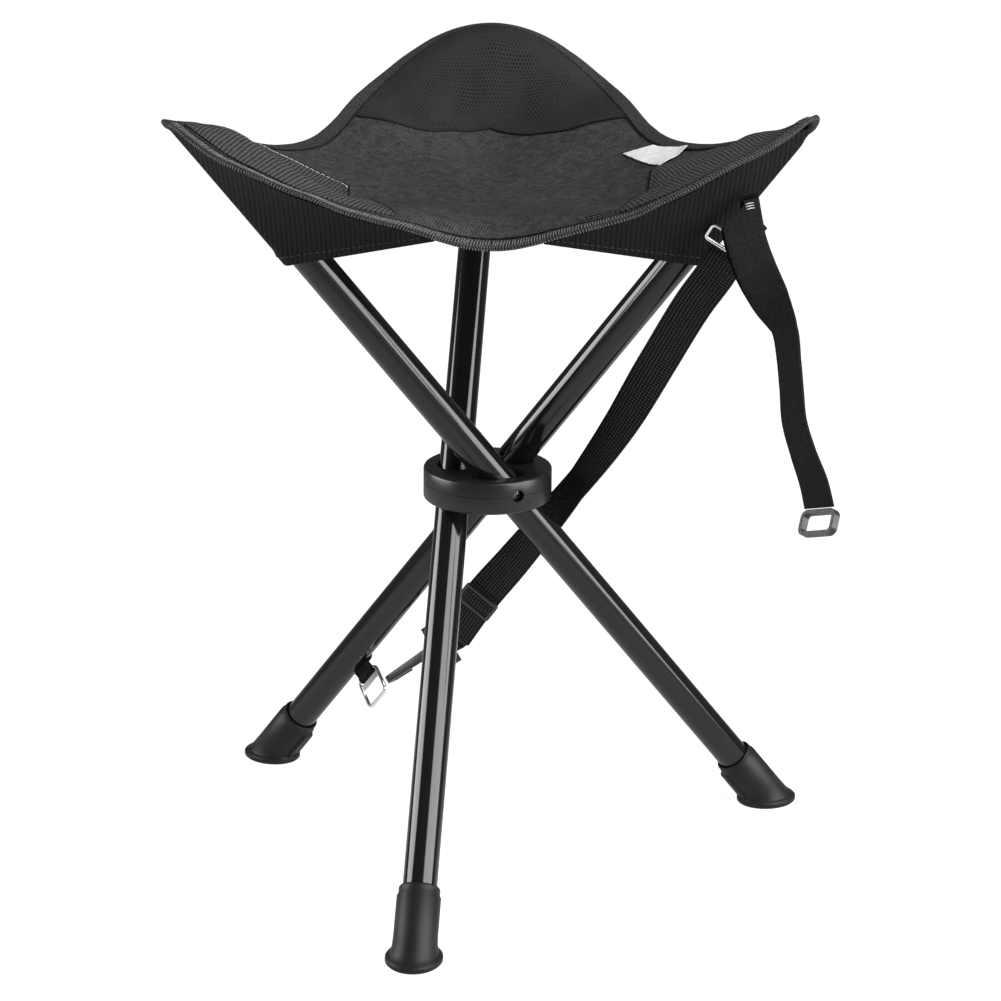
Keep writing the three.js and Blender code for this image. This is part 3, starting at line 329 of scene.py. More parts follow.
# ---------------------------------------------------------------- materials
class Nodes:
    """Short way to write a procedural material."""

    def __init__(self, name):
        self.material = bpy.data.materials.new(name)
        self.material.use_nodes = True
        self.tree = self.material.node_tree
        self.bsdf = self.tree.nodes["Principled BSDF"]

    def add(self, kind, **inputs):
        node = self.tree.nodes.new(kind)
        for key, value in inputs.items():
            if key.startswith("_"):
                setattr(node, key[1:], value)
        return node

    def link(self, source, target):
        self.tree.links.new(source, target)

    def math(self, operation, a, b=None):
        node = self.add("ShaderNodeMath", _operation=operation)
        for socket, value in zip(node.inputs, (a, b)):
            if value is None:
                continue
            if isinstance(value, (int, float)):
                socket.default_value = value
            else:
                self.link(value, socket)
        return node.outputs[0]

    def ramp(self, value, low, high):
        """0 at low, 1 at high, clamped."""
        node = self.add("ShaderNodeMapRange")
        self.link(value, node.inputs["Value"])
        node.inputs["From Min"].default_value = low
        node.inputs["From Max"].default_value = high
        return node.outputs[0]

    def mix(self, factor, dark, light):
        node = self.add("ShaderNodeMix", _data_type="RGBA")
        self.link(factor, node.inputs["Factor"])
        node.inputs["A"].default_value = (*dark, 1)
        node.inputs["B"].default_value = (*light, 1)
        return node.outputs["Result"]

    def uv(self):
        """Weave coordinates in millimetres."""
        node = self.add("ShaderNodeUVMap", _uv_map="weave")
        parts = self.add("ShaderNodeSeparateXYZ")
        self.link(node.outputs[0], parts.inputs[0])
        return parts.outputs[0], parts.outputs[1]

    def place(self):
        return self.add("ShaderNodeTexCoord").outputs["Object"]

    def noise(self, scale, detail=3.0, vector=None):
        node = self.add("ShaderNodeTexNoise")
        node.inputs["Scale"].default_value = scale
        node.inputs["Detail"].default_value = detail
        self.link(vector or self.place(), node.inputs["Vector"])
        return node.outputs["Fac"]

    def wave(self, value, pitch, shift=0.0):
        """-1 to 1 with the given pitch in millimetres."""
        return self.math("SINE", self.math("ADD", self.math("MULTIPLY", value, 2 * math.pi / pitch), shift))

    def bump(self, height, distance, strength=1.0):
        node = self.add("ShaderNodeBump")
        node.inputs["Strength"].default_value = strength
        node.inputs["Distance"].default_value = distance
        self.link(height, node.inputs["Height"])
        self.link(node.outputs[0], self.bsdf.inputs["Normal"])

    def set(self, **values):
        for key, value in values.items():
            name = key.replace("_", " ")
            socket = self.bsdf.inputs[name]
            if isinstance(value, (int, float)):
                socket.default_value = value
            elif isinstance(value, tuple):
                socket.default_value = (*value, 1) if len(value) == 3 else value
            else:
                self.link(value, socket)
        return self


def grey(level):
    return (level, level, level * 1.01)


def gloss_paint():
    n = Nodes("gloss_black_paint")
    n.set(Base_Color=grey(0.005), Roughness=0.11)
    return n.material


def satin_plastic(name, level, roughness, specular=0.5):
    n = Nodes(name)
    n.set(
        Base_Color=n.mix(n.noise(35.0), grey(level * 0.85), grey(level * 1.15)),
        Roughness=roughness, Specular_IOR_Level=specular,
    )
    n.bump(n.noise(1800.0, 2.0), 0.00004, 0.5)
    return n.material


def rubber():
    n = Nodes("grey_rubber")
    tone_and_painted_light = n.mix(n.noise(60.0), grey(0.006), grey(0.010))
    n.set(Base_Color=tone_and_painted_light, Roughness=0.45, Specular_IOR_Level=0.22)
    n.bump(n.noise(900.0, 3.0), 0.00005, 0.6)
    return n.material


def metal(name, level, roughness):
    n = Nodes(name)
    n.set(Base_Color=grey(level), Metallic=1.0, Roughness=roughness)
    return n.material


def oxford(name="oxford_cloth", dark=0.006, light=0.040, pitch=1.7):
    """Plain coarse weave: threads crossing over and under, with painted highlight on raised threads and
    painted shade in the hollows.
    """
    n = Nodes(name)
    u, v = n.uv()
    over = n.math("MULTIPLY", n.wave(u, pitch), n.wave(v, pitch))
    fine = n.math("MULTIPLY", n.wave(u, pitch / 2, 0.7), n.wave(v, pitch / 2, 0.2))
    height = n.math("ADD", n.math("MULTIPLY", over, 0.5), n.math("MULTIPLY", fine, 0.18))
    ragged = n.math("MULTIPLY", n.math("SUBTRACT", n.noise(420.0, 4.0), 0.5), 1.3)
    streaks = n.math("MULTIPLY", n.math("SUBTRACT", n.noise(160.0, 3.0), 0.5), 1.1)
    height = n.math("ADD", n.math("ADD", height, ragged), streaks)
    # Colour from the weave height plus noise: random tone, with painted highlight on the weave's tops and
    # painted shade in its hollows.
    tone_and_painted_light = n.math("ADD", n.ramp(height, -0.6, 0.9), n.math("MULTIPLY", n.noise(9.0, 3.0), 0.2))
    n.set(Base_Color=n.mix(tone_and_painted_light, grey(dark), grey(light)), Roughness=0.85, Specular_IOR_Level=0.12)
    n.bump(height, 0.00035, 0.85)
    return n.material


def ribbed(name="ribbed_cloth", dark=0.008, light=0.05, pitch=3.1):
    """Weave with a darker groove every few millimetres; the groove's darkness is painted shade and the
    ridges' lightness painted highlight.
    """
    n = Nodes(name)
    u, v = n.uv()
    ridge = n.ramp(n.wave(u, pitch), -0.95, 0.1)
    cross = n.math("MULTIPLY", n.wave(v, 1.5), 0.35)
    ragged = n.math("MULTIPLY", n.math("SUBTRACT", n.noise(420.0, 4.0), 0.5), 1.2)
    height = n.math("ADD", n.math("ADD", ridge, cross), ragged)
    # Colour from the rib height plus noise: random tone, painted shade in the grooves and painted highlight
    # on the ridges.
    n.set(
        Base_Color=n.mix(n.ramp(height, -0.3, 1.6), grey(dark), grey(light)),
        Roughness=0.85, Specular_IOR_Level=0.1,
    )
    n.bump(height, 0.0003, 0.8)
    return n.material


def honeycomb(pitch=2.0):
    """Spacer mesh: rows of small holes, each row shifted by half a hole, with painted shade darkening the
    holes.
    """
    n = Nodes("honeycomb_mesh")
    u, v = n.uv()
    tilt = math.sqrt(3) / 2
    one = n.math("ADD", n.math("MULTIPLY", u, 0.5), n.math("MULTIPLY", v, tilt))
    two = n.math("SUBTRACT", n.math("MULTIPLY", u, 0.5), n.math("MULTIPLY", v, tilt))
    quarter = math.pi / 2
    total = n.wave(u, pitch, quarter)
    for way in (one, two):
        total = n.math("ADD", total, n.wave(way, pitch, quarter))
    hole = n.ramp(total, 0.2, 1.7)
    clear = n.ramp(n.noise(45.0, 2.0), 0.3, 0.62)
    hole = n.math("MULTIPLY", hole, n.math("ADD", 0.25, n.math("MULTIPLY", clear, 0.75)))
    height = n.math("SUBTRACT", n.math("MULTIPLY", n.noise(500.0, 3.0), 0.9), hole)
    # Painted shade in the holes, varied with random tone from the noise.
    dark = n.math("SUBTRACT", hole, n.math("MULTIPLY", n.noise(420.0, 3.0), 0.5))
    n.set(Base_Color=n.mix(dark, grey(0.022), grey(0.002)), Roughness=0.85, Specular_IOR_Level=0.1)
    n.bump(height, 0.0006, 0.9)
    return n.material


def webbing_cloth(dark=0.001, light=0.05):
    """Narrow webbing: a diagonal grid of small raised loops, lighter on the loops and darker between them
    as painted highlight and shade.
    """
    n = Nodes("webbing")
    u, v = n.uv()
    sum_uv, gap_uv = n.math("ADD", u, v), n.math("SUBTRACT", u, v)
    grid = n.math("MULTIPLY", n.wave(sum_uv, 4.4), n.wave(gap_uv, 4.4))
    rib = n.math("MULTIPLY", n.wave(u, 1.05), 0.25)
    height = n.math("ADD", grid, rib)
    height = n.math("ADD", height, n.math("MULTIPLY", n.math("SUBTRACT", n.noise(600.0, 3.0), 0.5), 0.8))
    # Colour from the loop height plus noise: random tone, painted highlight on the loops and painted shade
    # between them.
    n.set(
        Base_Color=n.mix(n.ramp(height, -0.1, 1.3), grey(dark), grey(light)),
        Roughness=0.8, Specular_IOR_Level=0.15,
    )
    n.bump(height, 0.0003, 0.9)
    return n.material


def fuzzy_tape(name, level):
    """Loop side of hook-and-loop tape: short matt pile."""
    n = Nodes(name)
    pile = n.noise(950.0, 5.0)
    n.set(
        Base_Color=n.mix(n.ramp(pile, 0.3, 0.75), grey(level * 0.5), grey(level * 1.5)),
        Roughness=0.95, Specular_IOR_Level=0.08,
    )
    n.bump(pile, 0.0006, 0.7)
    return n.material


def thread(name, level):
    n = Nodes(name)
    n.set(Base_Color=grey(level), Roughness=0.6, Specular_IOR_Level=0.2)
    return n.material


def label_cloth():
    n = Nodes("label_cloth")
    n.set(Base_Color=n.mix(n.noise(240.0, 4.0), grey(0.45), grey(0.8)), Roughness=0.8)
    n.bump(n.noise(300.0, 4.0), 0.0004, 0.5)
    return n.material


M = {
    "paint": gloss_paint(),
    "hub": satin_plastic("satin_black_plastic", 0.010, 0.3, 0.42),
    "buckle": satin_plastic("dark_plastic", 0.016, 0.3),
    "rubber": rubber(),
    "steel": metal("dark_steel", 0.18, 0.3),
    "chrome": metal("chrome", 0.92, 0.07),
    "cloth": oxford(dark=0.001, light=0.07, pitch=2.4),
    "hem": ribbed("hem_cloth", 0.002, 0.062, 2.0),
    "pocket": ribbed("pocket_cloth", 0.0015, 0.011, 3.1),
    "ribbed": ribbed("ribbed_patch", 0.002, 0.085, 2.6),
    "mesh": honeycomb(),
    "webbing": webbing_cloth(),
    "pile": fuzzy_tape("loop_tape", 0.012),
    "hooks": fuzzy_tape("hook_tape", 0.004),
    # Black for lines of painted shade: the hems' inner edges and the patches' rolled edges.
    "black_shade_line": thread("black_shade_line", 0.004),
    "dark_thread": thread("dark_thread", 0.03),
    "lock_thread": thread("lock_thread", 0.17),
    "white_thread": thread("white_thread", 0.62),
    "label": label_cloth(),
}


# ---------------------------------------------------------------- seat surface
def apart(a, b):
    """Smallest angle between two directions, in degrees."""
    return abs((a - b) % 360 if (a - b) % 360 <= 180 else 360 - (a - b) % 360)


def corner_of(key):
    return LEGS[key] - 90 + SEAT_TURN


def nearest_corner(azimuth):
    turn = (azimuth - 90 - SEAT_TURN) % 120
    return min(turn, 120 - turn)


def which_end(azimuth):
    return "back" if apart(azimuth, 90 + SEAT_TURN) < 60 else "front"


def edge_radius(azimuth):
    return curve(EDGE_TURN, EDGE_RADIUS[which_end(azimuth)], nearest_corner(azimuth))


def sag(azimuth, k):
    """How far the cloth hangs below its even shape."""
    from_corner = (azimuth - FRONT + 60) % 360
    front = curve(FRONT_SAG_AT, FRONT_SAG, from_corner) * k**5 if from_corner < 120 else 0.0
    near = 1 - apart(azimuth, LEFT_SAG["middle"]) / LEFT_SAG["half"]
    droop = FRONT_DROOP * smooth(1 - apart(azimuth, FRONT) / 42) * k**7
    return front + droop + LEFT_SAG["depth"] * smooth(near) * k**3


def rumple(x, y, k):
    """Small unevenness of stretched cloth; none at the very edge."""
    p = Vector((x / 55, y / 55, 0.3))
    q = Vector((x / 17, y / 17, 4.1))
    calm = 1 - smooth((k - 0.86) / 0.12)
    return calm * (1.1 * noise.noise(p) + 0.28 * noise.noise(q))


def seat_point(azimuth, k):
    """Middle of the seat cloth at a direction and a share of the edge radius."""
    turn = nearest_corner(azimuth)
    radius = edge_radius(azimuth) * k
    edge = curve(EDGE_TURN, EDGE_HEIGHT, turn)
    edge -= CORNER_SETTLE * smooth(1 - apart(azimuth, corner_of("a")) / 26) * smooth((k - 0.9) / 0.1)
    at_corner = 1 - smooth(turn / 35)
    rise = at_corner * curve(RISE_AT, RISE[which_end(azimuth)], k) + (1 - at_corner) * k * k
    z = SEAT_CENTRE + (edge - SEAT_CENTRE) * rise - sag(azimuth, k)
    a = math.radians(azimuth)
    x, y = radius * math.cos(a), radius * math.sin(a)
    return Vector((x, y, CROSS_Z + z + rumple(x, y, k)))


def seat_frame(azimuth, k):
    """Point, upward normal and outward direction of the seat cloth."""
    step = 0.012
    inner = seat_point(azimuth, max(0.001, k - step))
    outer = seat_point(azimuth, k + step if k < 0.985 else 1.0)
    out = (outer - inner).normalized()
    along = (seat_point(azimuth + 0.6, k) - seat_point(azimuth - 0.6, k)).normalized()
    normal = out.cross(along)
    if normal.z < 0:
        normal.negate()
    return seat_point(azimuth, k), normal.normalized(), out


def seat_lifted(azimuth, k, lift):
    p, normal, _ = seat_frame(azimuth, k)
    return p + normal * lift


def seat_at(x, y, lift):
    azimuth = math.degrees(math.atan2(y, x))
    return seat_lifted(azimuth, math.hypot(x, y) / edge_radius(azimuth), lift)


def bend(obj, key):
    """Bakes the object's transform into its mesh; the span near a corner where cloth would follow that leg
    is worked out but not applied.
    """
    a = math.radians(corner_of(key))
    way = Vector((math.cos(a), math.sin(a), 0))
    to_frame(way * BEND_FROM)
    to_frame(way * BEND_TO)
    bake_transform(obj)
    return obj


def flat_uv(corner):
    """Weave coordinates: along the corner direction, and across it."""
    a = math.radians(corner)

    def uv(p, i, j):
        return (p.x * math.cos(a) + p.y * math.sin(a), -p.x * math.sin(a) + p.y * math.cos(a))

    return uv


def seat_cloth(key):
    corner = corner_of(key)
    azimuths = spread(corner - 60, corner + 60, 97)
    ks = spread(0.0, 1.0, 65)
    upper = [[seat_lifted(a, max(k, 0.002), CLOTH / 2) for k in ks] for a in azimuths]
    lower = [[seat_lifted(a, max(k, 0.002), -CLOTH / 2) for k in ks] for a in azimuths]
    obj = sheet(f"seat_cloth_{key}", upper, lower, M["cloth"], flat_uv(36.0))
    bend(obj, key)
    return obj


# ---------------------------------------------------------------- hem round the seat's edge
def hem_profile(width, half, thick, around=7):
    """Folded strip round an edge: (outward, up) points, outer side then inner side."""
    outer, inner = [], []
    for q in spread(0.0, 1.0, 4)[:-1]:
        outer.append((-width * (1 - q), half + thick))
        inner.append((-width * (1 - q), half))
    for i in range(around):
        a = math.pi / 2 - math.pi * i / (around - 1)
        outer.append(((half + thick) * math.cos(a), (half + thick) * math.sin(a)))
        inner.append((half * math.cos(a), half * math.sin(a)))
    for q in spread(1.0, 0.0, 4)[1:]:
        outer.append((-width * (1 - q), -half - thick))
        inner.append((-width * (1 - q), -half))
    return outer + inner[::-1]


def hem(name, low, high, width, key):
    """Folded strip round half of one edge, with its cloth's weave running along it."""
    count = int(high - low) + 1
    rings = []
    uvs = []
    profile = hem_profile(width, CLOTH / 2 + 0.12, 0.85)
    run = 0.0
    before = None
    for azimuth in spread(low, high, count):
        p, normal, _ = seat_frame(azimuth, 1.0)
        inner = seat_point(azimuth, 1 - width / edge_radius(azimuth))
        out = (p - inner).normalized()
        lump = 0.22 * noise.noise(Vector((azimuth / 3.1, width, 0)))
        rings.append([p + out * (x + lump) + normal * (y * (1 + 0.25 * lump)) for x, y in profile])
        if before is not None:
            run += (p - before).length
        before = p
        uvs += [(run, x + (0 if y > 0 else 40)) for x, y in profile]
    obj = loft(name, rings, M["hem"], uvs)
    bend(obj, key)
    return obj


def edge_path(low, high, inward, lift, sample=0.15):
    """Points along the edge, a distance in from it, with the cloth's normal."""
    path = []
    for azimuth in spread(low, high, int((high - low) / sample) + 1):
        q, normal, _ = seat_frame(azimuth, 1 - inward / edge_radius(azimuth))
        path.append((q + normal * lift, normal))
    return path


def whip_stitches(low, high, pitch=1.6):
    """Slanting threads that wrap the front edge."""
    out = []
    run, before = 0.0, None
    for azimuth in spread(low, high, int((high - low) / 0.12) + 1):
        p = seat_point(azimuth, 1.0)
        if before is not None:
            run += (p - before).length
        before = p
        if run < pitch * random.uniform(0.85, 1.15):
            continue
        run = 0.0
        lean = random.uniform(1.1, 1.7)
        points = []
        for inward, turn in ((3.6, 1.0), (2.4, 0.66), (1.2, 0.33), (0.3, 0.0)):
            q, normal, _ = seat_frame(azimuth, 1 - inward / edge_radius(azimuth))
            along = (seat_point(azimuth + 0.5, 1.0) - seat_point(azimuth - 0.5, 1.0)).normalized()
            points.append(q + normal * 1.72 + along * (lean * turn))
        q, normal, out_way = seat_frame(azimuth, 1.0)
        points.append(q + out_way * 1.75 + normal * 0.5)
        points.append(q + out_way * 1.8 - normal * 0.7)
        out.append(points)
    return out


def hems():
    """Three folded hems, each in two halves, and their seams."""
    for name, middle in (("front", FRONT), ("right", FRONT + 120), ("left", FRONT + 240)):
        width = 4.5 if name == "front" else 10.0
        for way, low, high in (("start", middle - 60, middle), ("end", middle, middle + 60)):
            corner = low if way == "start" else high
            key = min(LEGS, key=lambda k: apart(corner_of(k), corner))
            hem(f"hem_{name}_{way}", low, high, width, key)
            row = stitches(edge_path(low, high, width - 1.4, CLOTH / 2 + 1.05), 2.7, 1.0, 0.35)
            seam = threads(f"hem_{name}_{way}_seam", row, 0.25, M["dark_thread"])
            bend(seam, key)
            # Black line along each hem's inner edge: painted shadow cast by the hem's edge.
            fold = [q for q, _ in edge_path(low, high, width + 0.5, CLOTH / 2 + 0.75, 0.6)]
            shade = threads(f"hem_{name}_{way}_fold", [fold], 0.5, M["black_shade_line"])
            bend(shade, key)
            if name == "front":
                wraps = whip_stitches(low, high)
                whip = threads(f"hem_{name}_{way}_overlock", wraps, 0.2, M["lock_thread"])
                bend(whip, key)
        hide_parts(f"edge_binding_{name}")


# ---------------------------------------------------------------- corner patches
def patch_low(key, azimuth):
    """Inner seam of a corner patch, as a share of the edge radius."""
    turn = math.radians(azimuth - corner_of(key))
    reach = 120.0
    for _ in range(12):
        reach = linear(*PATCH_SEAM[key], reach * math.sin(turn)) / math.cos(turn)
    return reach / edge_radius(azimuth)


def patch_high(azimuth):
    return 1 - 9.2 / edge_radius(azimuth)


def corner_patch(key):
    corner = corner_of(key)
    azimuths = spread(corner - 38, corner + 38, 103)
    upper, lower = [], []
    for azimuth in azimuths:
        low, high = patch_low(key, azimuth), patch_high(azimuth)
        low = min(low, high - 0.01)
        upper.append([seat_lifted(azimuth, k, CLOTH / 2 + 0.12 + 0.85) for k in spread(low, high, 32)])
        lower.append([seat_lifted(azimuth, k, CLOTH / 2 + 0.12) for k in spread(low, high, 32)])
    kind = "mesh" if key == "c" else "ribbed"
    obj = sheet(f"patch_{key}", upper, lower, M[kind], flat_uv(PATCH_GRAIN[key]))
    bend(obj, key)
    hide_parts(f"corner_patch_{key}")
    path = []
    for azimuth in spread(corner - 37.5, corner + 37.5, 300):
        low = min(patch_low(key, azimuth), patch_high(azimuth) - 0.01)
        p, normal, _ = seat_frame(azimuth, low)
        path.append((p + normal * (CLOTH / 2 + 0.55), normal))
    # Rolled edge along the patch's inner seam: a real ridge, coloured black as painted shade along the
    # seam.
    rolled = threads(f"patch_{key}_rolled_edge", [[p for p, _ in path]], 0.75, M["black_shade_line"], 8)
    bend(rolled, key)
    patch_seam(key)


def patch_seam(key):
    """Row of stitches a little outside a patch's inner edge."""
    corner = corner_of(key)
    row = []
    for azimuth in spread(corner - 36, corner + 36, 820):
        low = patch_low(key, azimuth) + 3.0 / edge_radius(azimuth)
        if low > patch_high(azimuth) - 0.02:
            continue
        p, normal, _ = seat_frame(azimuth, low)
        row.append((p + normal * (CLOTH / 2 + 1.1), normal))
    obj = threads(f"patch_{key}_seam", stitches(row, 2.6, 1.0, 0.35), 0.28, M["dark_thread"])
    bend(obj, key)


def patch_rows(key, lines, colour):
    """Rows of stitches across a patch, each through points (x, y) from the hub axis."""
    rows = []
    for line in lines:
        points = [Vector((x, y, 0)) for x, y in line]
        path = []
        for t in spread(0.0, 1.0, 500):
            q = catmull(points, t) if len(points) > 2 else points[0].lerp(points[1], t)
            azimuth = math.degrees(math.atan2(q.y, q.x))
            k = math.hypot(q.x, q.y) / edge_radius(azimuth)
            if k > 0.96:
                continue
            p, normal, _ = seat_frame(azimuth, k)
            path.append((p + normal * (CLOTH / 2 + 1.12), normal))
        rows += stitches(path, 3.0, 0.9, 0.35)
    obj = threads(f"patch_{key}_rows", rows, 0.34, M[colour])
    bend(obj, key)


# ---------------------------------------------------------------- care label
def care_label():
    """Blank white label with frayed long sides, one corner lifting."""
    left, top, right, bottom = (Vector(p) for p in LABEL)
    upper, lower = [], []
    for u in spread(0.0, 1.0, 49):
        row_u, row_l = [], []
        fray = random.uniform(-0.02, 0.02)
        for j, v in enumerate(spread(0.0, 1.0, 13)):
            reach = v + (fray if j in (0, 12) else 0)
            q = left.lerp(bottom, u).lerp(top.lerp(right, u), reach)
            curl = 1.0 + 0.4 * math.sin(u * 8) * math.sin(v * 5) + 2.6 * smooth((u + v - 1.6) / 0.4)
            row_u.append(seat_at(q.x, q.y, CLOTH / 2 + curl + 0.35))
            row_l.append(seat_at(q.x, q.y, CLOTH / 2 + curl))
        upper.append(row_u)
        lower.append(row_l)
    obj = sheet("care_label_cloth", upper, lower, M["label"])
    bend(obj, "b")
    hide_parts("care_label")


# ---------------------------------------------------------------- pockets under the corners
def pocket_grid(key, columns=15):
    """Middle surface of a pocket: a sling from the front edge round the leg to the back edge."""
    corner = corner_of(key)
    low_leg = -(LEGS[key] - 90)

    def edge_at(turn):
        drop = 0.8 + (POCKET_DROP - 0.8) * smooth(abs(turn) / 14 - 0.3)
        p = turned(seat_point(corner + turn, 0.985) - Vector((0, 0, drop)), low_leg)
        x, z = p.x, p.z - CROSS_Z
        along = x * math.sin(TILT) + z * math.cos(TILT)
        below = x * math.cos(TILT) - z * math.sin(TILT)
        return Vector((along, p.y - LEG_OFFSET, below))

    rows = []
    for t in spread(0.0, 1.0, 45):
        s = 338 + (POCKET_MOUTH - 338) * t
        radius = POCKET_R * smooth(0.3 + (338 - s) / 22)
        centre = 0.8 * (POCKET_R - radius)
        turn = 4 + (POCKET_TURN - 4) * t
        ends = []
        for hand in (-1, 1):
            e = edge_at(hand * turn)
            reach = math.hypot(e.y, e.z - centre)
            bearing = math.atan2(e.z - centre, e.y)
            opening = math.acos(min(0.98, radius / reach))
            ends.append((e, (bearing + hand * opening) % (2 * math.pi)))
        (left, start), (right, end) = ends
        turns = spread(start, end, columns)
        arc = [Vector((s, radius * math.cos(a), centre + radius * math.sin(a))) for a in turns]
        flank_l = [left.lerp(arc[0], q) for q in spread(0.0, 1.0, 13)[:-1]]
        flank_r = [right.lerp(arc[-1], q) for q in spread(0.0, 1.0, 13)[:-1]][::-1]
        line = flank_l + arc + flank_r
        rows.append([under_seat(place_leg(leg_point(q.x, q.y, q.z), key)) for q in line])
    return rows


def under_seat(p):
    """p, lowered where needed so that it stays below the seat cloth."""
    azimuth = math.degrees(math.atan2(p.y, p.x))
    k = math.hypot(p.x, p.y) / edge_radius(azimuth)
    if k > 1:
        return p
    ceiling = seat_point(azimuth, k).z - 1.7
    return Vector((p.x, p.y, min(p.z, ceiling)))


def grid_normals(grid):
    """Normal at each point of a grid, from its neighbours."""
    rows, cols = len(grid), len(grid[0])
    normals = []
    for i in range(rows):
        row = []
        for j in range(cols):
            a = grid[min(rows - 1, i + 1)][j] - grid[max(0, i - 1)][j]
            b = grid[i][min(cols - 1, j + 1)] - grid[i][max(0, j - 1)]
            row.append(a.cross(b).normalized())
        normals.append(row)
    return normals


def moved(grid, normals, amount):
    """Grid shifted along its normals, by a number or by amount(i, j)."""
    return [
        [p + n * (amount(i, j) if callable(amount) else amount) for j, (p, n) in enumerate(zip(row, nrow))]
        for i, (row, nrow) in enumerate(zip(grid, normals))
    ]


def flank_uv(corner, middle):
    """Weave coordinates of a pocket: level along each flank, and height."""

    def uv(p, i, j):
        a = math.radians(corner + (-60 if j < middle else 60) + 90)
        return (p.x * math.cos(a) + p.y * math.sin(a), p.z)

    return uv


def pocket(key):
    grid = pocket_grid(key)
    normals = grid_normals(grid)
    last = len(grid) - 1
    outer_sign = outward_sign(grid, normals, key)

    def outside(i, j):
        return outer_sign * (0.6 + 0.7 * smooth((i - (last - 3.4)) / 0.4))

    upper = moved(grid, normals, outside)
    lower = moved(grid, normals, -0.6 * outer_sign)
    obj = sheet(f"pocket_{key}", upper, lower, M["pocket"], flank_uv(corner_of(key), len(grid[0]) // 2))
    bend(obj, key)
    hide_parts(f"corner_pocket_{key}")
    row_index = last - 2.6
    i, part = int(row_index), row_index - int(row_index)
    path = []
    for j in range(len(grid[0]) - 1):
        for q in spread(0.0, 1.0, 12)[:-1]:
            p = grid[i][j].lerp(grid[i][j + 1], q).lerp(grid[i + 1][j].lerp(grid[i + 1][j + 1], q), part)
            n = normals[i][j].lerp(normals[i][j + 1], q) * outer_sign
            path.append((p + n * 1.45, n))
    seam = threads(f"pocket_{key}_seam", stitches(path, 2.8, 1.1, 0.35), 0.3, M["dark_thread"])
    bend(seam, key)


def outward_sign(grid, normals, key):
    """1 when the grid's normals point away from the leg tube, else -1."""
    i, j = len(grid) - 4, len(grid[0]) // 2
    axis_point = place_leg(leg_point(POCKET_MOUTH + 10, 0, 0), key)
    return 1.0 if normals[i][j].dot(grid[i][j] - axis_point) > 0 else -1.0


# ---------------------------------------------------------------- straps
def stations(points, twists, count):
    """Point, width direction, face direction and tangent along a strap, in leg b's frame."""
    out = []
    for t in spread(0.0, 1.0, count):
        p = catmull(points, t)
        tangent = (catmull(points, min(1.0, t + 0.002)) - catmull(points, max(0.0, t - 0.002))).normalized()
        face = (FACING - tangent * FACING.dot(tangent)).normalized()
        where = t * (len(twists) - 1)
        j = min(len(twists) - 2, int(where))
        twist = twists[j] + (twists[j + 1] - twists[j]) * (where - j)
        face.rotate(Matrix.Rotation(math.radians(twist), 3, tangent))
        out.append((p, tangent.cross(face).normalized(), face, tangent))
    return out


HOOK_BAR = (-160, 16, 40)  # along leg b, sideways and square below it
ADJUSTER_AT = (sum(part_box("strap_adjuster"), Vector()) / 2 - AXIS) / MM
SHOULDER = stations(
    [(176, 9.5, 430), (163, 14.5, 413.5), (144, 20, 390.5), (112, 29.5, 345), (82, 33.5, 298),
     (46, 37, 249.5), (-4, 37.5, 187), (-31, 37, 154.5), (-57.5, 41.3, 119.8)],
    [0, 0, 0, 0, 25, 48, 20, 4, 4], 181,
)
STORAGE = stations(
    [(194.5, -4.4, 454), (197, -4.4, 445), (204.9, -4.4, 428), (216, -4.4, 411), (227, -4.4, 393.7),
     (231, -4.4, 374.4), (233.7, -4.4, 355.8), (236.5, -4.4, 336.4), (243.5, -4.4, 318),
     (252, -4.4, 300), (256.7, -4.4, 285)],
    [0, 0, 5, 25, 58, 62, 62, 60, 58, 52, 50], 161,
)


def strap_profile(width, thick):
    """Flat section with round edges: (across, out) points."""
    half, r = width / 2, thick / 2
    points = []
    for x in spread(-half + r, half - r, 9):
        points.append((x, r))
    for a in (45, 0, -45):
        points.append((half - r + r * math.cos(math.radians(a)), r * math.sin(math.radians(a))))
    for x in spread(half - r, -half + r, 9):
        points.append((x, -r))
    for a in (-135, 180, 135):
        points.append((-half + r + r * math.cos(math.radians(a)), r * math.sin(math.radians(a))))
    return points


def strap(name, path, width, thick, material, lift=None):
    """Strap along stations beside leg b; lift(share) moves it along its own face, and sideways."""
    profile = strap_profile(width, thick)
    rings, uvs = [], []
    run, before = 0.0, None
    for i, (p, across, face, tangent) in enumerate(path):
        out, side = lift(i / (len(path) - 1)) if lift else (0.0, 0.0)
        p = p + face * out + across * side
        if before is not None:
            run += (p - before).length
        before = p
        rings.append([place_leg(p + across * x + face * y, "b") for x, y in profile])
        uvs += [(x, run) for x, y in profile]
    return loft(name, rings, material, uvs)


def shoulder_strap():
    obj = strap("shoulder_webbing", SHOULDER, WEBBING, 1.5, M["webbing"])
    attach(obj, "leg_b")
    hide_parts("shoulder_strap")


def strap_hump():
    """The webbing's pass over the middle bar of the adjuster."""
    middle = min(range(len(SHOULDER)), key=lambda i: (place_leg(SHOULDER[i][0], "b") - ADJUSTER_AT).length)
    path = SHOULDER[middle - 5 : middle + 6]

    def lift(t):
        return (1.2 + 2.9 * math.sin(math.pi * t), 0.0)

    obj = strap("shoulder_webbing_hump", path, WEBBING - 3.0, 1.4, M["webbing"], lift)
    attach(obj, "adjuster")


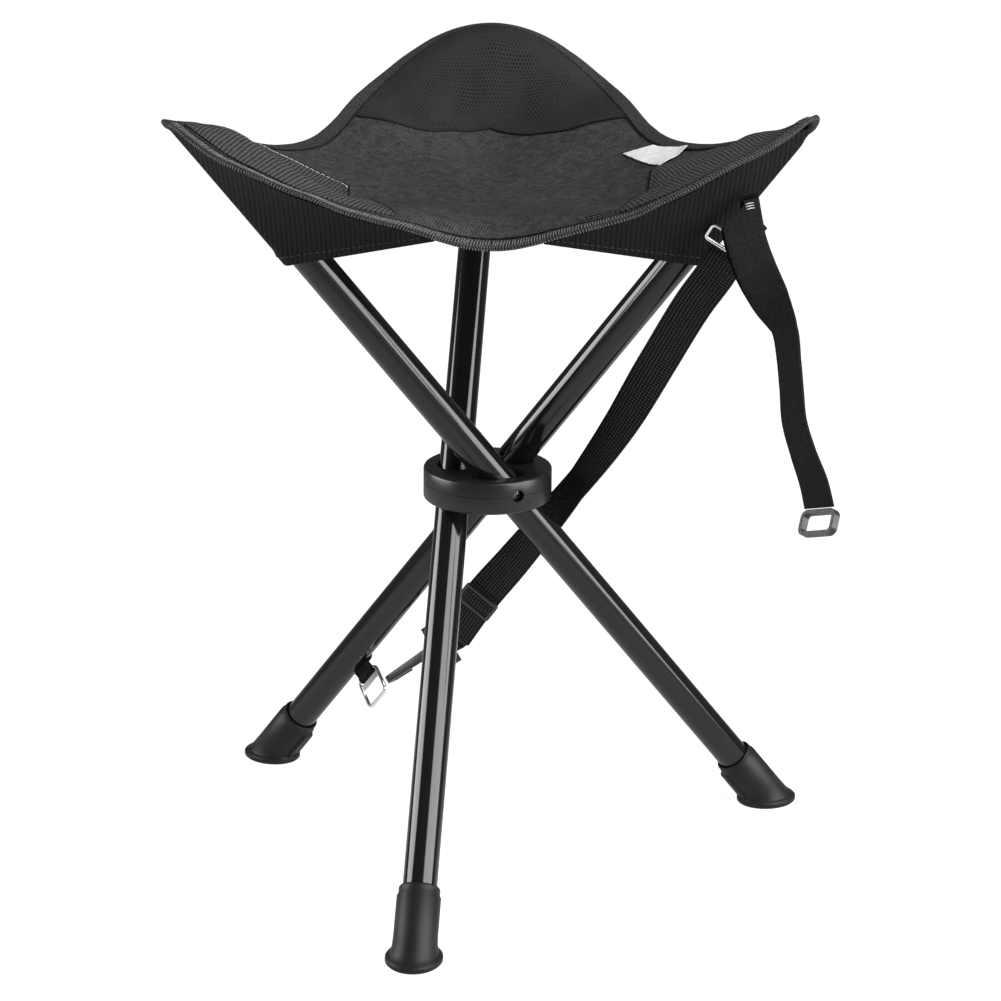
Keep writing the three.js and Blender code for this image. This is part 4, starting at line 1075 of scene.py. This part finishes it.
def strap_ends():
    """Sewn doubled ends of the shoulder strap, at the upper ring and above the hook."""
    for name, path in (("upper", SHOULDER[3:26]), ("lower", SHOULDER[160:180])):
        title = f"shoulder_webbing_{name}_end"
        obj = strap(title, path, WEBBING - 0.4, 1.3, M["webbing"], lambda t: (1.42, 0.0))
        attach(obj, "leg_b")
        for side in (0, len(path) - 1):
            p, across, face, tangent = path[side]
            start = p + tangent * (2.2 if side == 0 else -2.2) + face * 2.25
            normal = turned(face, LEGS["b"] - 90)
            line = [(place_leg(start + across * x, "b"), normal) for x in spread(-10.5, 10.5, 90)]
            cut = stitches(line, 2.3, 0.9, 0.2)
            row = threads(f"shoulder_{name}_stitches_{side}", cut, 0.25, M["dark_thread"])
            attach(row, "leg_b")


def hook_loop():
    """Loop at the lower end of the shoulder strap, round the bar of the snap hook."""
    bar = leg_point(*HOOK_BAR)
    end = SHOULDER[-1][0]
    points = [SHOULDER[172][0], end, end.lerp(bar, 0.6), bar, bar + (bar - end) * 0.12]
    path = stations(points, [4, 4, 4, 4, 4], 15)
    rings, uvs = [], []
    for i, (p, across, face, _) in enumerate(path):
        t = i / (len(path) - 1)
        half, thick = WEBBING / 2 * (1 - 0.42 * smooth(t / 0.8)), 1.5 + 2.2 * smooth(t / 0.5)
        ring = strap_profile(2 * half, thick)
        rings.append([place_leg(p + across * x + face * y, "b") for x, y in ring])
        uvs += [(x, i * 2.0) for x, y in ring]
    obj = loft("shoulder_webbing_loop", rings, M["webbing"], uvs)
    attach(obj, "leg_b")


def storage_strap():
    front = strap("storage_strap_front", STORAGE, WEBBING, 1.3, M["pile"], lambda t: (0.85, 0.0))
    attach(front, "leg_b")
    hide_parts("storage_strap")

    def behind(t):
        return (-0.9 - 5.5 * (1 - smooth(t / 0.16)), 1.4 - 0.8 * (1 - smooth(t / 0.2)))

    back = strap("storage_strap_back", STORAGE, WEBBING, 1.3, M["hooks"], behind)
    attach(back, "leg_b")
    storage_top()


def storage_top():
    """Upper end of the storage strap: both layers run up to a fold, the front one cut on the slant."""
    p, across, face, tangent = STORAGE[0]
    profile = strap_profile(WEBBING, 1.3)
    for name, lift, lean, rise, slant, trim, material in (
        ("front", 0.85, 3.2, 14.0, 15.5, 0.0, "pile"),
        ("back", -4.6, 7.2, 17.0, 0.0, 13.0, "hooks"),
    ):
        rings, uvs = [], []
        for t in spread(-0.12, 1.0, 15):
            q = p - tangent * (rise * t) + FACING * (lift + lean * smooth(t))
            edge = WEBBING / 2 - slant * smooth(t * 1.1) - trim
            rings.append([place_leg(q + across * min(x, edge) + face * y, "b") for x, y in profile])
            uvs += [(x, rise * t) for x, y in profile]
        obj = loft(f"storage_strap_{name}_top", rings, M[material], uvs)
        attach(obj, "leg_b")
    tacks = []
    for i in range(3):
        q = p - tangent * (11.5 - 1.6 * i) + FACING * 5.6 + across * (-6.0)
        line = (q - across * 2.6, q - tangent * 0.2, q + across * 2.6)
        tacks.append([place_leg(point, "b") for point in line])
    obj = threads("storage_strap_tack", tacks, 0.3, M["white_thread"])
    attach(obj, "leg_b")


# ---------------------------------------------------------------- CAD pieces that are shown as they are
def dress(node, material, bevel=0.35, angle=28):
    """Material, smooth shading and small edge rounding for a CAD node, by modifiers only."""
    obj = frame["nodes"][node]
    obj.data.materials.clear()
    obj.data.materials.append(material)
    for polygon in obj.data.polygons:
        polygon.use_smooth = True
    weld = obj.modifiers.new("weld", "WELD")
    weld.merge_threshold = 0.00001
    if bevel:
        mod = obj.modifiers.new("bevel", "BEVEL")
        mod.width = bevel * MM
        mod.segments = 2
        mod.limit_method = "ANGLE"
        mod.angle_limit = math.radians(angle)
        mod.harden_normals = False
    split = obj.modifiers.new("split", "EDGE_SPLIT")
    split.split_angle = math.radians(35)


def hard_parts():
    dress("hub_upper_shell", M["hub"], 0.0)
    dress("hub_lower_shell", M["hub"], 0.0)
    for key in LEGS:
        dress(f"pivot_screw_{key}", M["steel"], 0.15)
        dress(f"hub_closing_screw_{key}", M["steel"], 0.15)
        dress(f"leg_tube_{key}", M["paint"], 0.0)
        dress(f"top_cap_{key}", M["hub"], 0.0)
        dress(f"foot_{key}", M["rubber"], 0.0)
    dress("strap_adjuster", M["buckle"], 0.4)
    dress("snap_hook", M["buckle"], 0.3)
    dress("snap_hook_gate", M["buckle"], 0.3)
    dress("lower_ring", M["chrome"], 0.0)
    dress("upper_ring", M["chrome"], 0.0)
    dress("storage_ring", M["buckle"], 0.0)
    dress("lower_ring_tab", M["webbing"], 0.3)
    dress("upper_ring_tab", M["webbing"], 0.3)


# ---------------------------------------------------------------- studio
def lamp(name, azimuth, height, distance, width, tall, strength, aim=0.3):
    """Soft rectangular light; azimuth is degrees to the right of the camera's own direction."""
    data = bpy.data.lights.new(name, "AREA")
    data.shape = "RECTANGLE"
    data.size, data.size_y = width, tall
    data.energy = strength
    obj = bpy.data.objects.new(name, data)
    bpy.context.scene.collection.objects.link(obj)
    a = math.radians(VIEW_AZIMUTH + azimuth)
    obj.location = (distance * math.sin(a), -distance * math.cos(a), height)
    obj.visible_camera = False
    way = Vector((0, 0, aim)) - obj.location
    obj.rotation_euler = way.to_track_quat("-Z", "Y").to_euler()
    return obj


VIEW_AZIMUTH = 6.138
VIEW_ELEVATION = 17.058
VIEW_DISTANCE = 2.2072
AIM_AZIMUTH = 5.902
AIM_ELEVATION = 17.525
ROLL = 0.564
LENS = 119.97


def studio():
    scene = bpy.context.scene
    scene.view_settings.view_transform = "Standard"
    lamp("softbox_right", 64, 1.45, 2.1, 2.3, 3.2, 170)
    lamp("softbox_left", -90, 0.5, 1.0, 0.8, 0.55, 11)
    world = bpy.data.worlds.new("pale_room")
    scene.world = world
    world.use_nodes = True
    tree = world.node_tree
    back = tree.nodes["Background"]
    back.inputs["Color"].default_value = (1, 1, 1, 1)
    back.inputs["Strength"].default_value = 0.35
    seen = tree.nodes.new("ShaderNodeBackground")
    seen.inputs["Strength"].default_value = 1.0
    dim = tree.nodes.new("ShaderNodeBackground")
    dim.inputs["Strength"].default_value = 0.12
    path = tree.nodes.new("ShaderNodeLightPath")
    first = tree.nodes.new("ShaderNodeMixShader")
    second = tree.nodes.new("ShaderNodeMixShader")
    tree.links.new(path.outputs["Is Glossy Ray"], first.inputs[0])
    tree.links.new(back.outputs[0], first.inputs[1])
    tree.links.new(dim.outputs[0], first.inputs[2])
    tree.links.new(path.outputs["Is Camera Ray"], second.inputs[0])
    tree.links.new(first.outputs[0], second.inputs[1])
    tree.links.new(seen.outputs[0], second.inputs[2])
    tree.links.new(second.outputs[0], tree.nodes["World Output"].inputs["Surface"])


def floor():
    bpy.ops.mesh.primitive_plane_add(size=60, location=(0, 20, 0))
    plane = bpy.context.object
    plane.name = "pale_floor"
    n = Nodes("pale_floor")
    n.set(Base_Color=(0.2, 0.2, 0.2), Roughness=0.9, Specular_IOR_Level=0.0)
    reach = n.add("ShaderNodeVectorMath", _operation="LENGTH")
    n.link(n.add("ShaderNodeNewGeometry").outputs["Position"], reach.inputs[0])
    far = n.ramp(reach.outputs["Value"], 0.45, 0.75)
    mirrored = n.math("SUBTRACT", 0.42, n.math("MULTIPLY", far, 0.38))
    glossy = n.add("ShaderNodeLightPath").outputs["Is Glossy Ray"]
    shown = n.math("ADD", 0.9, n.math("MULTIPLY", glossy, n.math("SUBTRACT", mirrored, 0.9)))
    n.set(Emission_Color=(1.0, 1.0, 1.0), Emission_Strength=shown)
    plane.data.materials.append(n.material)


def camera():
    data = bpy.data.cameras.new("camera")
    data.sensor_width = 36
    data.lens = LENS
    data.clip_end = 200
    obj = bpy.data.objects.new("camera", data)
    bpy.context.scene.collection.objects.link(obj)

    def back(azimuth, elevation):
        a, e = math.radians(azimuth), math.radians(elevation)
        return Vector((math.sin(a) * math.cos(e), -math.cos(a) * math.cos(e), math.sin(e)))

    crossing = to_frame((0, 0, CROSS_Z))
    forward = -back(AIM_AZIMUTH, AIM_ELEVATION)
    right = forward.cross(Vector((0, 0, 1))).normalized()
    up = right.cross(forward)
    roll = math.radians(ROLL)
    right, up = right * math.cos(roll) + up * math.sin(roll), up * math.cos(roll) - right * math.sin(roll)
    turn = Matrix((right, up, -forward)).transposed().to_4x4()
    place = crossing + back(VIEW_AZIMUTH, VIEW_ELEVATION) * VIEW_DISTANCE
    obj.matrix_world = Matrix.Translation(place) @ turn
    bpy.context.scene.camera = obj


# ---------------------------------------------------------------- assembly
hard_parts()
seats = [seat_cloth(key) for key in LEGS]
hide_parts("seat_panel")
hems()
for key in LEGS:
    corner_patch(key)
    pocket(key)
patch_rows("a", PATCH_ROWS_A, "white_thread")
patch_rows("b", PATCH_ROWS_B, "dark_thread")
care_label()
shoulder_strap()
strap_hump()
strap_ends()
hook_loop()
storage_strap()
studio()
floor()
camera()
